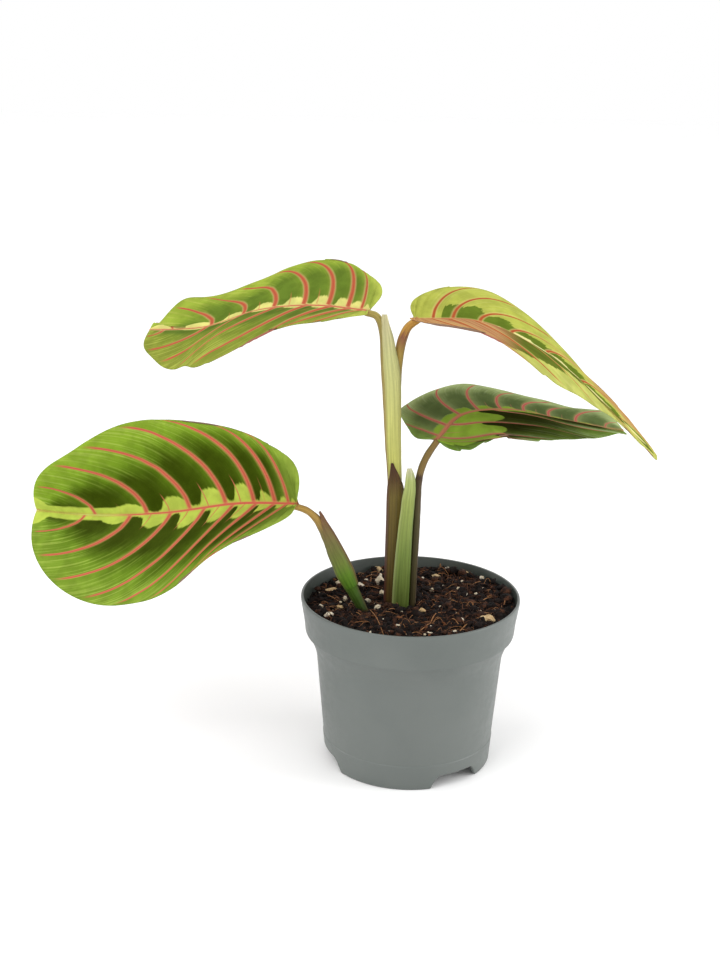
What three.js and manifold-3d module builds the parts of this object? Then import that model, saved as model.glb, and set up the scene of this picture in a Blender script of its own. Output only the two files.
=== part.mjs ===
// A young prayer plant in a small grey nursery pot. Four broad blades with herringbone veins stand
// on sheathed stalks in a peat mix. Millimetres, +Z up; the plant is seen from -Y.
// Every place below is measured from the middle of the pot's foot, and the last lines move the
// whole plant so that the origin is the middle of its bounding box, on the surface it stands on.

import * as THREE from "three";
import Module from "manifold-3d";
import { mergeVertices } from "three/addons/utils/BufferGeometryUtils.js";

const wasm = await Module();
wasm.setup();

// Pot: a 9 cm nursery pot with a raised floor on three feet.
const POT_HEIGHT = 71.4;
const RIM_RADIUS = 45.1;
const BAND_RADIUS = 43; // at the foot of the band under the lip
const BAND_BOTTOM = 56.6;
const BAND_MIDDLE = 62;
const LEDGE_BOTTOM = 48.2; // where the ledge under the band meets the body
const BODY_TOP_RADIUS = 38.5;
const FOOT_LINE_HEIGHT = 10.8;
const FOOT_LINE_RADIUS = 35.2;
const FOOT_RADIUS = 34.6;
const POT_WALL = 1.6;
const FLOOR_UNDERSIDE = 6.4;
const FLOOR_TOP = 8;
const POT_SEGMENTS = 60;
// Notches in the foot: middle and half-width, in degrees round from the front towards +X.
const NOTCHES = [[34, 19], [158, 19], [282, 25]];
const NOTCH_HEIGHT = 5.6;
const DRAIN_RADIUS = 3;
const DRAIN_CIRCLE = 22;
const DRAIN_COUNT = 6;

// Potting mix.
const CLEARANCE = 0.3; // between neighbours that touch in the real plant
const MIX_LEVEL = 67.9;
const MIX_RISE_FRONT = 0.9; // the mix lies higher towards the front and the right
const MIX_RISE_RIGHT = 0.6;
const MIX_LUMP_HEIGHT = 0.8;
const MIX_RINGS = 14;
const MIX_CALM_FROM = 37; // the small lumps fade out between this radius and MIX_CALM_TO
const MIX_CALM_TO = 42;
const HOLE_DEPTH = 14;
// Holes for the two groups of stalks: x, y, half-width, half-depth.
const STALK_HOLES = [[-7.2, 1.2, 4.2, 5.2], [-2.7, -5.1, 5.9, 4.2]];

// Blades: shared form. s runs along the blade from 0 at the stalk to 1 at the tip, and w runs out
// from 0 at the midrib to 1 at the margin, slanting towards the tip as the side veins do.
const BLADE_THICKNESS = 0.7;
const MIDRIB_DEPTH = 1.1; // how far the midrib stands out underneath, at the stalk
const VEIN_START = 0.08;
const VEIN_START_POWER = 2.15;
const QUILT_HEIGHT = 0.45; // the swelling between side veins
const FIRST_ROWS = [0, 0.02, 0.05, 0.09];
const LAST_ROWS = [0.92, 0.955, 0.98, 1];
const COLUMNS = [0, 0.14, 0.32, 0.52, 0.72, 0.88, 1];

// Blades: each one's own pose, chosen by eye. The turns are in degrees at the stalk, the middle and
// the tip: roll lifts the back half and lowers the front half, fold lifts both halves, and curl is
// the further bend of a half from the midrib to its margin. front says which side of the direction
// of growth faces the front: 1 is the left. Side veins leave at a first place and then at even
// steps. margin lists where the edge swells or draws in: half, place, spread, share of the width.
const LEAVES = [
  {
    name: "leaf_lower_left", color: 0x76983a, front: 1, halfWidth: 41,
    midrib: [[-46, -13, 114], [-71, 1, 109], [-101, 15, 100], [-132, 28, 94], [-161, 42, 91]],
    roll: [50, 60, 75], fold: [45, 30, 35], curlFront: -10, curlBack: -5,
    baseBlunt: 0.6, tipBlunt: 1.1, lobe: 0.03, wave: 0.3, waves: 3.5, wavePhase: 0.3,
    veinsFront: [0.28, 0.09], veinsBack: [0.26, 0.105],
    margin: [
      ["back", 0.06, 0.06, 0.12], ["back", 0.28, 0.2, -0.1], ["back", 0.72, 0.12, -0.12],
      ["front", 0.14, 0.1, 0.1], ["front", 0.36, 0.12, 0.14], ["front", 0.58, 0.15, 0.1],
    ],
  },
  {
    name: "leaf_upper_left", color: 0x82a637, front: 1, halfWidth: 33,
    midrib: [[-19, 0, 189], [-41, 9, 189], [-63, 18, 185], [-86, 31, 175], [-110, 42, 171]],
    roll: [15, 14, 32], fold: [25, 10, 5], curlFront: -20, curlBack: -5,
    baseBlunt: 0.6, tipBlunt: 0.9, lobe: 0.03, wave: 0.25, waves: 3, wavePhase: 0.6,
    veinsFront: [0.24, 0.104], veinsBack: [0.24, 0.104],
    margin: [
      ["back", 0.18, 0.1, -0.12], ["back", 0.4, 0.1, 0.03], ["back", 0.7, 0.1, -0.22],
      ["back", 0.9, 0.06, -0.55], ["front", 0.18, 0.1, 0.1], ["front", 0.5, 0.08, 0.35],
      ["front", 0.82, 0.1, -0.15],
    ],
  },
  {
    name: "leaf_upper_right", color: 0xc3cd5f, front: -1, halfWidth: 34,
    midrib: [[-1, 1, 186], [26, 0, 185], [51, 0, 173], [75, 0, 153], [97, 0, 132]],
    roll: [3, 0, 3], fold: [18, 10, -3], curlFront: -20, curlBack: 1,
    baseBlunt: 0.6, tipBlunt: 0.75, lobe: 0.02, wave: 0.25, waves: 2.5, wavePhase: 0.1,
    veinsFront: [0.31, 0.1], veinsBack: [0.31, 0.1],
    margin: [
      ["back", 0.6, 0.2, -0.48], ["back", 0.88, 0.07, -0.35], ["front", 0.46, 0.08, 0.3],
      ["front", 0.72, 0.12, -0.7], ["front", 0.87, 0.1, -0.7],
    ],
  },
  {
    name: "leaf_lower_right", color: 0x50693f, front: -1, halfWidth: 30,
    midrib: [[9, 5, 136], [20, 18, 143], [41, 30, 142], [65, 40, 135], [91, 46, 129]],
    roll: [5, 7, 7], fold: [5, 9, 14], curlFront: -15, curlBack: -10,
    baseBlunt: 0.65, tipBlunt: 0.9, lobe: 0.03, wave: 0.5, waves: 4.5, wavePhase: 0.45,
    veinsFront: [0.2, 0.1], veinsBack: [0.15, 0.1],
    margin: [
      ["back", 0.2, 0.04, 0.1], ["back", 0.65, 0.2, -0.5], ["front", 0.07, 0.06, 0.25],
      ["front", 0.085, 0.012, -0.15], ["front", 0.42, 0.08, 0.15], ["front", 0.82, 0.15, -0.35],
    ],
  },
];

// Stalks: rows of x, y, z, half-width, half-depth, from the foot in the mix upwards.
const STALK_LOWER_LEFT = [
  [-14.4, -8.6, 55.5, 1.3, 1.3], [-17.9, -9, 64.9, 1.6, 1.5], [-20.7, -9.2, 70.3, 2.1, 1.7],
  [-23.2, -9.5, 75.5, 2.4, 1.9], [-25.3, -9.8, 80, 2.9, 2.1], [-27.1, -10, 84.3, 3.2, 2.1],
  [-29.1, -10.2, 89.5, 3.2, 2], [-31.4, -10.5, 94.5, 3, 1.9], [-34.2, -10.8, 100.6, 2.5, 1.8],
  [-36.9, -11.2, 105.4, 2, 1.6], [-39.6, -11.9, 109, 1.5, 1.5], [-42.8, -12.5, 111.6, 1.4, 1.4],
  [-45, -12.9, 112.4, 1.2, 1.2],
];
const STALK_UPPER_LEFT = [
  [-7.4, 0, 55, 2.4, 1.9], [-7.4, 0, 67, 2.5, 2], [-7.1, 0, 86, 2.6, 2], [-6.9, 0, 103, 2.6, 2],
  [-7, 0, 112, 2.5, 2.05], [-7.3, 0, 121, 2.5, 2.1], [-8.3, 0, 134, 2.7, 2.2],
  [-8.8, 0, 146, 2.9, 2.2], [-9.4, 0, 155, 3.1, 2.2], [-10.4, 0, 162, 2.9, 2.1],
  [-11.1, 0, 168, 2.5, 2], [-11.3, 0, 177, 2.7, 1.8], [-12, 0, 182, 2.1, 1.3], [-11.5, 0, 188, 0.4, 0.4],
];
const JOINT_UPPER_LEFT = [
  [-12.3, 0, 170, 1.3, 1.3], [-13.1, 0, 177.5, 1.4, 1.4], [-14.3, 0, 183.8, 1.5, 1.5],
  [-16.2, 0, 186.9, 1.4, 1.4], [-18, 0, 187.7, 1.2, 1.2],
];
const STALK_UPPER_RIGHT = [
  [-6.2, 3.9, 55, 1.4, 1.4], [-6.2, 3.9, 70, 1.5, 1.5], [-6.1, 3.95, 100, 1.5, 1.5],
  [-6.3, 4, 125, 1.5, 1.5], [-7, 4, 148, 1.5, 1.5], [-7.1, 3.4, 158, 1.6, 1.6],
  [-6.9, 2, 168, 1.7, 1.7], [-6.4, 1.4, 174.5, 1.7, 1.7], [-5.3, 1.4, 179, 1.5, 1.5],
  [-3.4, 1.5, 182.8, 1.4, 1.4], [-1.7, 1.3, 184.6, 1.2, 1.2],
];
const STALK_LOWER_RIGHT = [
  [0.5, -3.5, 55, 1.3, 1.3], [0.5, -3.5, 68, 1.5, 1.5], [0.9, -3.4, 84, 1.5, 1.5],
  [1.5, -3.2, 100, 1.5, 1.5], [1.75, -2.4, 112, 1.5, 1.5], [2.1, -0.6, 119.5, 1.5, 1.5],
  [3.3, 1.6, 125, 1.4, 1.4], [5.7, 3.8, 130, 1.4, 1.4], [8.1, 4.8, 134, 1.2, 1.2],
];
const SHEATH_LOWER_RIGHT = [
  [-4.4, -6, 55, 2.6, 1.8], [-4.3, -6, 68, 3, 1.9], [-3.75, -6, 84.5, 2.9, 1.9],
  [-2.9, -5.9, 101, 2.5, 1.8], [-2.25, -5.6, 109, 2.3, 1.6], [-1.9, -5.2, 114, 2.2, 1.4],
  [-1.25, -4.7, 119, 1.8, 1.1], [-1.2, -4.4, 124, 1.4, 0.8], [-1.7, -4.3, 127, 0.4, 0.4],
];
const STALK_SIDES = 9;
const STALK_STEPS = 2; // rings for each stretch between the rows above

// The brown lower sheath is an open shell round the front of the two upper stalks.
const BROWN_SHEATH = { wall: 0.6, backLeft: 165, backRight: 375, tipAngle: 262, tipSpan: 10 };
const BROWN_SHEATH_ROWS = [
  [-7.4, 0, 57, 3.15, 2.55], [-7.4, 0, 67, 3.2, 2.65], [-7.2, 0, 86, 3.3, 2.7],
  [-7, 0, 103, 3.3, 2.7], [-6.95, 0, 112, 3.35, 2.75],
];
const BROWN_SHEATH_TIP_START = 113;
const BROWN_SHEATH_TIP_TOP = 128;

const DEGREE = Math.PI / 180;

// A closed surface under construction: points and triangles.
class Skin {
  constructor() {
    this.points = [];
    this.triangles = [];
  }

  point(p) {
    return this.points.push(p.clone()) - 1;
  }

  triangle(a, b, c) {
    this.triangles.push(a, b, c);
  }

  quad(a, b, c, d) {
    this.triangle(a, b, c);
    this.triangle(a, c, d);
  }

  geometry() {
    const g = new THREE.BufferGeometry();
    const numbers = this.points.flatMap((p) => p.toArray());
    g.setAttribute("position", new THREE.Float32BufferAttribute(numbers, 3));
    g.setIndex(this.triangles);
    return g;
  }

  normals() {
    const g = this.geometry();
    g.computeVertexNormals();
    const n = g.getAttribute("normal");
    return this.points.map((_, i) => new THREE.Vector3().fromBufferAttribute(n, i));
  }
}

// Gives an open skin a thickness: above and below are distances along its normals.
function thicken(open, above, below) {
  const normals = open.normals();
  const body = new Skin();
  const count = open.points.length;
  open.points.forEach((p, i) => body.point(p.clone().addScaledVector(normals[i], above(i))));
  open.points.forEach((p, i) => body.point(p.clone().addScaledVector(normals[i], -below(i))));
  const edges = new Map();
  for (let k = 0; k < open.triangles.length; k += 3) {
    const [a, b, c] = open.triangles.slice(k, k + 3);
    body.triangle(a, b, c);
    body.triangle(a + count, c + count, b + count);
    for (const [p, q] of [[a, b], [b, c], [c, a]]) {
      if (!edges.delete(`${q} ${p}`)) edges.set(`${p} ${q}`, [p, q]);
    }
  }
  for (const [p, q] of edges.values()) body.quad(q, p, p + count, q + count);
  return body.geometry();
}

// A smooth line through values at even steps of t from 0 to 1.
function smooth(values, t) {
  const last = values.length - 1;
  const at = (k) => {
    if (k < 0) return 2 * values[0] - values[1];
    return k > last ? 2 * values[last] - values[last - 1] : values[k];
  };
  const x = THREE.MathUtils.clamp(t, 0, 1) * last;
  const i = Math.min(Math.floor(x), last - 1);
  const f = x - i;
  const [a, b, c, d] = [at(i - 1), at(i), at(i + 1), at(i + 2)];
  return 0.5 * (2 * b + (c - a) * f + (2 * a - 5 * b + 4 * c - d) * f * f + (3 * b - a - 3 * c + d) * f ** 3);
}

function toSolid(geometry) {
  const g = geometry.clone();
  g.deleteAttribute("normal");
  g.deleteAttribute("uv");
  const merged = mergeVertices(g, 1e-4);
  const mesh = new wasm.Mesh({
    numProp: 3,
    vertProperties: new Float32Array(merged.getAttribute("position").array),
    triVerts: new Uint32Array(merged.index.array),
  });
  return new wasm.Manifold(mesh);
}

function toGeometry(solid) {
  const mesh = solid.getMesh();
  const g = new THREE.BufferGeometry();
  g.setAttribute("position", new THREE.BufferAttribute(new Float32Array(mesh.vertProperties), 3));
  g.setIndex(Array.from(mesh.triVerts));
  return g;
}

// Pot outline, from the axis under the floor round the outside to the axis above the floor.
const POT_INNER = [
  [FOOT_RADIUS - 0.7, FLOOR_TOP],
  [BODY_TOP_RADIUS - POT_WALL, LEDGE_BOTTOM - 0.6],
  [BAND_RADIUS - POT_WALL, BAND_BOTTOM],
  [BAND_RADIUS - POT_WALL + 0.6, BAND_MIDDLE],
  [RIM_RADIUS - POT_WALL - 0.2, 68],
  [RIM_RADIUS - 1.3, POT_HEIGHT],
];
const POT_OUTLINE = [
  [0, FLOOR_UNDERSIDE], [FOOT_RADIUS - POT_WALL, FLOOR_UNDERSIDE], [FOOT_RADIUS - POT_WALL, 0],
  [FOOT_RADIUS, 0], [FOOT_LINE_RADIUS, FOOT_LINE_HEIGHT], [BODY_TOP_RADIUS - 0.2, LEDGE_BOTTOM - 2],
  [BODY_TOP_RADIUS + 0.7, LEDGE_BOTTOM + 1], [BAND_RADIUS, BAND_BOTTOM], [BAND_RADIUS + 0.6, BAND_MIDDLE],
  [RIM_RADIUS - 0.8, 66], [RIM_RADIUS - 0.1, 70], [RIM_RADIUS, 70.8], [RIM_RADIUS - 0.4, POT_HEIGHT],
  ...[...POT_INNER].reverse(), [0, FLOOR_TOP],
];

// Radius of the pot's inside at a height.
function potInside(z) {
  const k = Math.max(1, POT_INNER.findIndex(([, height]) => height >= z));
  const [[r0, z0], [r1, z1]] = [POT_INNER[k - 1], POT_INNER[k]];
  return r0 + ((r1 - r0) * (z - z0)) / (z1 - z0);
}

// Direction round the pot, in degrees from the front towards +X.
function around(degrees) {
  return new THREE.Vector2(Math.sin(degrees * DEGREE), -Math.cos(degrees * DEGREE));
}

// A rounded notch through the foot ring: an arch pushed outwards through the wall.
function notchCutter(degrees, halfAngle) {
  const half = FOOT_RADIUS * Math.sin(halfAngle * DEGREE);
  const shape = new THREE.Shape();
  shape.moveTo(-half, -1);
  shape.bezierCurveTo(-half * 0.75, -1, -half * 0.85, NOTCH_HEIGHT, -half * 0.45, NOTCH_HEIGHT);
  shape.lineTo(half * 0.45, NOTCH_HEIGHT);
  shape.bezierCurveTo(half * 0.85, NOTCH_HEIGHT, half * 0.75, -1, half, -1);
  const cutter = new THREE.ExtrudeGeometry(shape, { depth: 16, bevelEnabled: false, curveSegments: 6 });
  cutter.rotateX(Math.PI / 2);
  cutter.translate(0, -FOOT_RADIUS + 12, 0);
  cutter.rotateZ(degrees * DEGREE);
  return toSolid(cutter);
}

function potGeometry() {
  const outline = POT_OUTLINE.map(([r, z]) => new THREE.Vector2(r, z));
  const lathe = new THREE.LatheGeometry(outline, POT_SEGMENTS);
  lathe.rotateX(Math.PI / 2);
  let pot = toSolid(lathe);
  for (const [degrees, halfAngle] of NOTCHES) pot = pot.subtract(notchCutter(degrees, halfAngle));
  for (let k = 0; k < DRAIN_COUNT; k += 1) {
    const drain = new THREE.CylinderGeometry(DRAIN_RADIUS, DRAIN_RADIUS, 6, 12);
    const place = around((360 / DRAIN_COUNT) * k).multiplyScalar(DRAIN_CIRCLE);
    drain.rotateX(Math.PI / 2);
    drain.translate(place.x, place.y, (FLOOR_UNDERSIDE + FLOOR_TOP) / 2);
    pot = pot.subtract(toSolid(drain));
  }
  return toGeometry(pot);
}

// Height of the mix: a gentle slope, broad humps and small lumps, calm at the pot's wall.
function mixHeight(x, y) {
  const r = Math.hypot(x, y);
  const calm = 1 - THREE.MathUtils.smoothstep(r, MIX_CALM_FROM, MIX_CALM_TO);
  const slope = (-MIX_RISE_FRONT * y + MIX_RISE_RIGHT * x) / 40;
  const hump = 0.5 * Math.sin(x * 0.11 + 1.3) * Math.cos(y * 0.13 + 0.4);
  const across = Math.sin(x * 0.83 + 1.7 * Math.sin(y * 0.31));
  const deep = Math.sin(y * 0.91 + 1.4 * Math.sin(x * 0.37));
  return MIX_LEVEL + slope + hump + MIX_LUMP_HEIGHT * across * deep * calm;
}

// The mix: a lumpy top, sides that follow the pot's inside, and a flat bottom on its floor.
function mixBody() {
  const skin = new Skin();
  const angles = Array.from({ length: POT_SEGMENTS }, (_, k) => (k / POT_SEGMENTS) * 2 * Math.PI);
  const ring = (pick) => angles.map((angle) => skin.point(pick(angle)));
  const onTop = (f) => ring((angle) => {
    const [dx, dy] = [Math.cos(angle), Math.sin(angle)];
    const rim = potInside(mixHeight(BAND_RADIUS * dx, BAND_RADIUS * dy)) - CLEARANCE;
    const [x, y] = [f * rim * dx, f * rim * dy];
    return new THREE.Vector3(x, y, mixHeight(x, y));
  });
  const onWall = (z) => ring((angle) => {
    const r = potInside(z) - CLEARANCE;
    return new THREE.Vector3(r * Math.cos(angle), r * Math.sin(angle), z);
  });
  const rings = [];
  for (let k = 1; k <= MIX_RINGS; k += 1) rings.push(onTop(k / MIX_RINGS));
  for (const z of [BAND_MIDDLE, BAND_BOTTOM, LEDGE_BOTTOM - 0.6, FLOOR_TOP + CLEARANCE]) rings.push(onWall(z));
  const top = skin.point(new THREE.Vector3(0, 0, mixHeight(0, 0)));
  const bottom = skin.point(new THREE.Vector3(0, 0, FLOOR_TOP + CLEARANCE));
  const last = rings[rings.length - 1];
  for (let k = 0; k < POT_SEGMENTS; k += 1) {
    const next = (k + 1) % POT_SEGMENTS;
    skin.triangle(top, rings[0][k], rings[0][next]);
    skin.triangle(bottom, last[next], last[k]);
    for (let j = 1; j < rings.length; j += 1) {
      skin.quad(rings[j - 1][k], rings[j][k], rings[j][next], rings[j - 1][next]);
    }
  }
  return skin.geometry();
}

// A round stalk whose section changes along it: rows of x, y, z, half-width, half-depth.
function stalkGeometry(rows, extra = 0) {
  const skin = new Skin();
  const places = rows.map(([x, y, z]) => new THREE.Vector3(x, y, z));
  const curve = new THREE.CatmullRomCurve3(places, false, "catmullrom", 0.5);
  const steps = (rows.length - 1) * STALK_STEPS;
  const rings = [];
  for (let i = 0; i <= steps; i += 1) {
    const t = i / steps;
    const tangent = curve.getTangent(t);
    const depth = new THREE.Vector3(0, 1, 0).addScaledVector(tangent, -tangent.y).normalize();
    const width = new THREE.Vector3().crossVectors(depth, tangent);
    const halfWidth = smooth(rows.map((row) => row[3]), t) + extra;
    const halfDepth = smooth(rows.map((row) => row[4]), t) + extra;
    rings.push(Array.from({ length: STALK_SIDES }, (_, k) => {
      const angle = (k / STALK_SIDES) * 2 * Math.PI;
      const p = curve.getPoint(t).addScaledVector(width, halfWidth * Math.cos(angle));
      return skin.point(p.addScaledVector(depth, halfDepth * Math.sin(angle)));
    }));
  }
  const foot = skin.point(curve.getPoint(0));
  const head = skin.point(curve.getPoint(1));
  for (let k = 0; k < STALK_SIDES; k += 1) {
    const next = (k + 1) % STALK_SIDES;
    skin.triangle(foot, rings[0][next], rings[0][k]);
    skin.triangle(head, rings[steps][k], rings[steps][next]);
    for (let i = 1; i <= steps; i += 1) {
      skin.quad(rings[i - 1][k], rings[i - 1][next], rings[i][next], rings[i][k]);
    }
  }
  return skin.geometry();
}

// The brown sheath: an arc of wall that narrows to a point at the front.
function brownSheathGeometry() {
  const { wall, backLeft, backRight, tipAngle, tipSpan } = BROWN_SHEATH;
  const across = 10;
  const skin = new Skin();
  const rows = [];
  const addRow = ([x, y, z, halfWidth, halfDepth], from, to) => {
    rows.push(Array.from({ length: across + 1 }, (_, k) => {
      const angle = (from + ((to - from) * k) / across) * DEGREE;
      const [dx, dy] = [halfWidth * Math.cos(angle), halfDepth * Math.sin(angle)];
      return skin.point(new THREE.Vector3(x + dx, y + dy, z));
    }));
  };
  for (const row of BROWN_SHEATH_ROWS) addRow(row, backLeft, backRight);
  const [x, y, , halfWidth, halfDepth] = BROWN_SHEATH_ROWS[BROWN_SHEATH_ROWS.length - 1];
  for (const f of [0.15, 0.4, 0.65, 0.85, 1]) {
    const z = THREE.MathUtils.lerp(BROWN_SHEATH_TIP_START, BROWN_SHEATH_TIP_TOP, f);
    const left = THREE.MathUtils.lerp(backLeft, tipAngle - tipSpan / 2, f);
    const right = THREE.MathUtils.lerp(backRight, tipAngle + tipSpan / 2, f);
    addRow([x - 0.9 * f * f, y, z, halfWidth + 0.2 * f, halfDepth + 0.25 * f], left, right);
  }
  for (let i = 1; i < rows.length; i += 1) {
    const [lower, upper] = [rows[i - 1], rows[i]];
    for (let k = 0; k < across; k += 1) skin.quad(lower[k], lower[k + 1], upper[k + 1], upper[k]);
  }
  return thicken(skin, () => wall / 2, () => wall / 2);
}

// Lift of one half of a blade from level, in degrees at the midrib, and its bend to the margin.
function halfTurn(leaf, side, u) {
  const isFront = side === leaf.front;
  const roll = smooth(leaf.roll, u);
  const lift = smooth(leaf.fold, u) + (isFront ? -roll : roll);
  const curl = isFront ? leaf.curlFront : leaf.curlBack;
  return [lift * DEGREE, curl * DEGREE];
}

// How much wider than its plain outline a half is at a place along its edge, as a factor.
function marginSwell(leaf, isFront, s) {
  const half = isFront ? "front" : "back";
  const own = leaf.margin.filter(([name]) => name === half);
  const factor = ([, at, spread, share]) => 1 + share * Math.exp(-(((s - at) / spread) ** 2));
  return own.reduce((swell, touch) => swell * factor(touch), 1);
}

// Where a point lies on the blade laid flat: along the midrib, and out from it. Each row runs
// straight from the midrib to the margin, so that no row crosses the next one.
function flatPoint(leaf, length, s, w, isFront) {
  const start = length * Math.max(0, (s - VEIN_START) / (1 - VEIN_START)) ** VEIN_START_POWER;
  const lobe = leaf.lobe * (s / 0.05) * Math.exp(1 - s / 0.05);
  const marginAlong = length * ((1 - Math.cos(Math.PI * s)) / 2 - lobe);
  const blunt = leaf.baseBlunt + (leaf.tipBlunt - leaf.baseBlunt) * s;
  const plainOut = leaf.halfWidth * Math.max(0, Math.sin(Math.PI * s)) ** blunt;
  const marginOut = plainOut * marginSwell(leaf, isFront, s);
  return [start + (marginAlong - start) * w, marginOut * w];
}

// A blade's midrib as a curve that can be read at any distance, also a little before its start.
function midribOf(leaf) {
  const places = leaf.midrib.map((p) => new THREE.Vector3(...p));
  const curve = new THREE.CatmullRomCurve3(places, false, "catmullrom", 0.5);
  const length = curve.getLength();
  const frame = (along) => {
    const u = THREE.MathUtils.clamp(along / length, 0, 1);
    const tangent = curve.getTangentAt(u);
    const point = curve.getPointAt(u).addScaledVector(tangent, along - u * length);
    const up = new THREE.Vector3(0, 0, 1).addScaledVector(tangent, -tangent.z).normalize();
    const left = new THREE.Vector3().crossVectors(up, tangent);
    return { u, point, up, left };
  };
  return { length, frame };
}

function bladePoint(leaf, midrib, s, w, side) {
  const [along, out] = flatPoint(leaf, midrib.length, s, w, side === leaf.front);
  const { u, point, up, left } = midrib.frame(along);
  const [lift, curl] = halfTurn(leaf, side, u);
  const bend = curl / leaf.halfWidth;
  const sideways = (Math.sin(lift + bend * out) - Math.sin(lift)) / bend;
  const upwards = (Math.cos(lift) - Math.cos(lift + bend * out)) / bend;
  return point.addScaledVector(left, side * sideways).addScaledVector(up, upwards);
}

// Height of the blade's relief: swollen between side veins, and waved at the margin.
function relief(leaf, s, w, isFront) {
  const [first, step] = isFront ? leaf.veinsFront : leaf.veinsBack;
  const between = Math.abs(Math.sin((Math.PI * (s - first)) / step));
  const quilt = QUILT_HEIGHT * between * Math.sin(Math.PI * Math.min(1, w * 1.1));
  return quilt + leaf.wave * w ** 3 * Math.sin(2 * Math.PI * (leaf.waves * s + leaf.wavePhase));
}

// Places of the rows along a blade: on each side vein of its back half and halfway between them.
function rowsOf(leaf) {
  const [first, step] = leaf.veinsBack;
  const veins = Array.from({ length: 30 }, (_, k) => first + ((k - 10) * step) / 2);
  return [...FIRST_ROWS, ...veins.filter((s) => s > 0.13 && s < 0.9), ...LAST_ROWS];
}

function leafGeometry(leaf) {
  const midrib = midribOf(leaf);
  const rows = rowsOf(leaf);
  const skin = new Skin();
  const heights = [];
  const ribs = [];
  const add = (s, w, side) => {
    heights.push(w > 0 ? relief(leaf, s, w, side === leaf.front) : 0);
    ribs.push(w > 0 ? 0 : MIDRIB_DEPTH * (1 - s) ** 1.5);
    return skin.point(bladePoint(leaf, midrib, s, w, side));
  };
  const base = add(0, 0, 1);
  const tip = add(1, 0, 1);
  // Side veins near the stalk all leave from its end, and the last row is the tip itself.
  const spine = rows.map((s) => {
    if (s === 1) return tip;
    return s > VEIN_START + 0.02 ? add(s, 0, 1) : base;
  });
  for (const side of [1, -1]) {
    const half = rows.map((s, i) => COLUMNS.map((w, j) => {
      if (j === 0) return spine[i];
      if (s === 0) return base;
      return s === 1 ? tip : add(s, w, side);
    }));
    for (let i = 1; i < rows.length; i += 1) {
      for (let j = 1; j < COLUMNS.length; j += 1) {
        const [a, b, c, d] = [half[i - 1][j - 1], half[i][j - 1], half[i][j], half[i - 1][j]];
        for (const corner of [[a, b, c], [a, c, d]]) {
          if (new Set(corner).size < 3) continue;
          skin.triangle(...(side > 0 ? corner : corner.reverse()));
        }
      }
    }
  }
  skin.normals().forEach((n, i) => skin.points[i].addScaledVector(n, heights[i]));
  return thicken(skin, () => BLADE_THICKNESS / 2, (i) => BLADE_THICKNESS / 2 + ribs[i]);
}

// A plain oval hole in the mix for a group of stalks.
function stalkHole(x, y, halfWidth, halfDepth) {
  const hole = new THREE.CylinderGeometry(1, 1, 2 * HOLE_DEPTH, 16);
  hole.rotateX(Math.PI / 2);
  hole.scale(halfWidth, halfDepth, 1);
  hole.translate(x, y, MIX_LEVEL);
  return toSolid(hole);
}

function mixGeometry() {
  let mix = toSolid(mixBody());
  for (const hole of STALK_HOLES) mix = mix.subtract(stalkHole(...hole));
  mix = mix.subtract(toSolid(stalkGeometry(STALK_LOWER_LEFT, CLEARANCE + 0.1)));
  return toGeometry(mix);
}

const plant = new THREE.Group();

function addPiece(name, geometry, color, roughness) {
  const flat = geometry.index ? geometry.toNonIndexed() : geometry;
  flat.computeVertexNormals();
  const mesh = new THREE.Mesh(flat, new THREE.MeshStandardMaterial({ color, roughness, metalness: 0 }));
  mesh.name = name;
  plant.add(mesh);
}

addPiece("pot", potGeometry(), 0x7a827e, 0.5);
addPiece("potting_mix", mixGeometry(), 0x2a1a12, 0.95);
for (const leaf of LEAVES) addPiece(leaf.name, leafGeometry(leaf), leaf.color, 0.5);
const upperLeft = toSolid(stalkGeometry(STALK_UPPER_LEFT)).add(toSolid(stalkGeometry(JOINT_UPPER_LEFT)));
addPiece("stalk_lower_left", stalkGeometry(STALK_LOWER_LEFT), 0x7d6937, 0.5);
addPiece("stalk_upper_left", toGeometry(upperLeft), 0xcdcd78, 0.5);
addPiece("stalk_upper_right", stalkGeometry(STALK_UPPER_RIGHT), 0xb9913c, 0.5);
addPiece("stalk_lower_right", stalkGeometry(STALK_LOWER_RIGHT), 0x6e5f46, 0.5);
addPiece("sheath_lower_right", stalkGeometry(SHEATH_LOWER_RIGHT), 0x8ca555, 0.5);
addPiece("sheath_brown", brownSheathGeometry(), 0x5a3723, 0.5);

plant.updateMatrixWorld(true);
const box = new THREE.Box3().setFromObject(plant);
const middle = box.getCenter(new THREE.Vector3());
plant.position.set(-middle.x, -middle.y, -box.min.z);

export default plant;
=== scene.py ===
"""Looks of a young prayer plant in a small grey nursery pot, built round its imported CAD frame.

Every length below is in millimetres from the middle of the pot's foot, as in the CAD part, and
place() turns it into Blender's metres. The plant is seen from -Y.
"""

import math
import random
from types import SimpleNamespace

import bmesh
import bpy
import numpy as np
from mathutils import Matrix, Vector, noise


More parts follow.
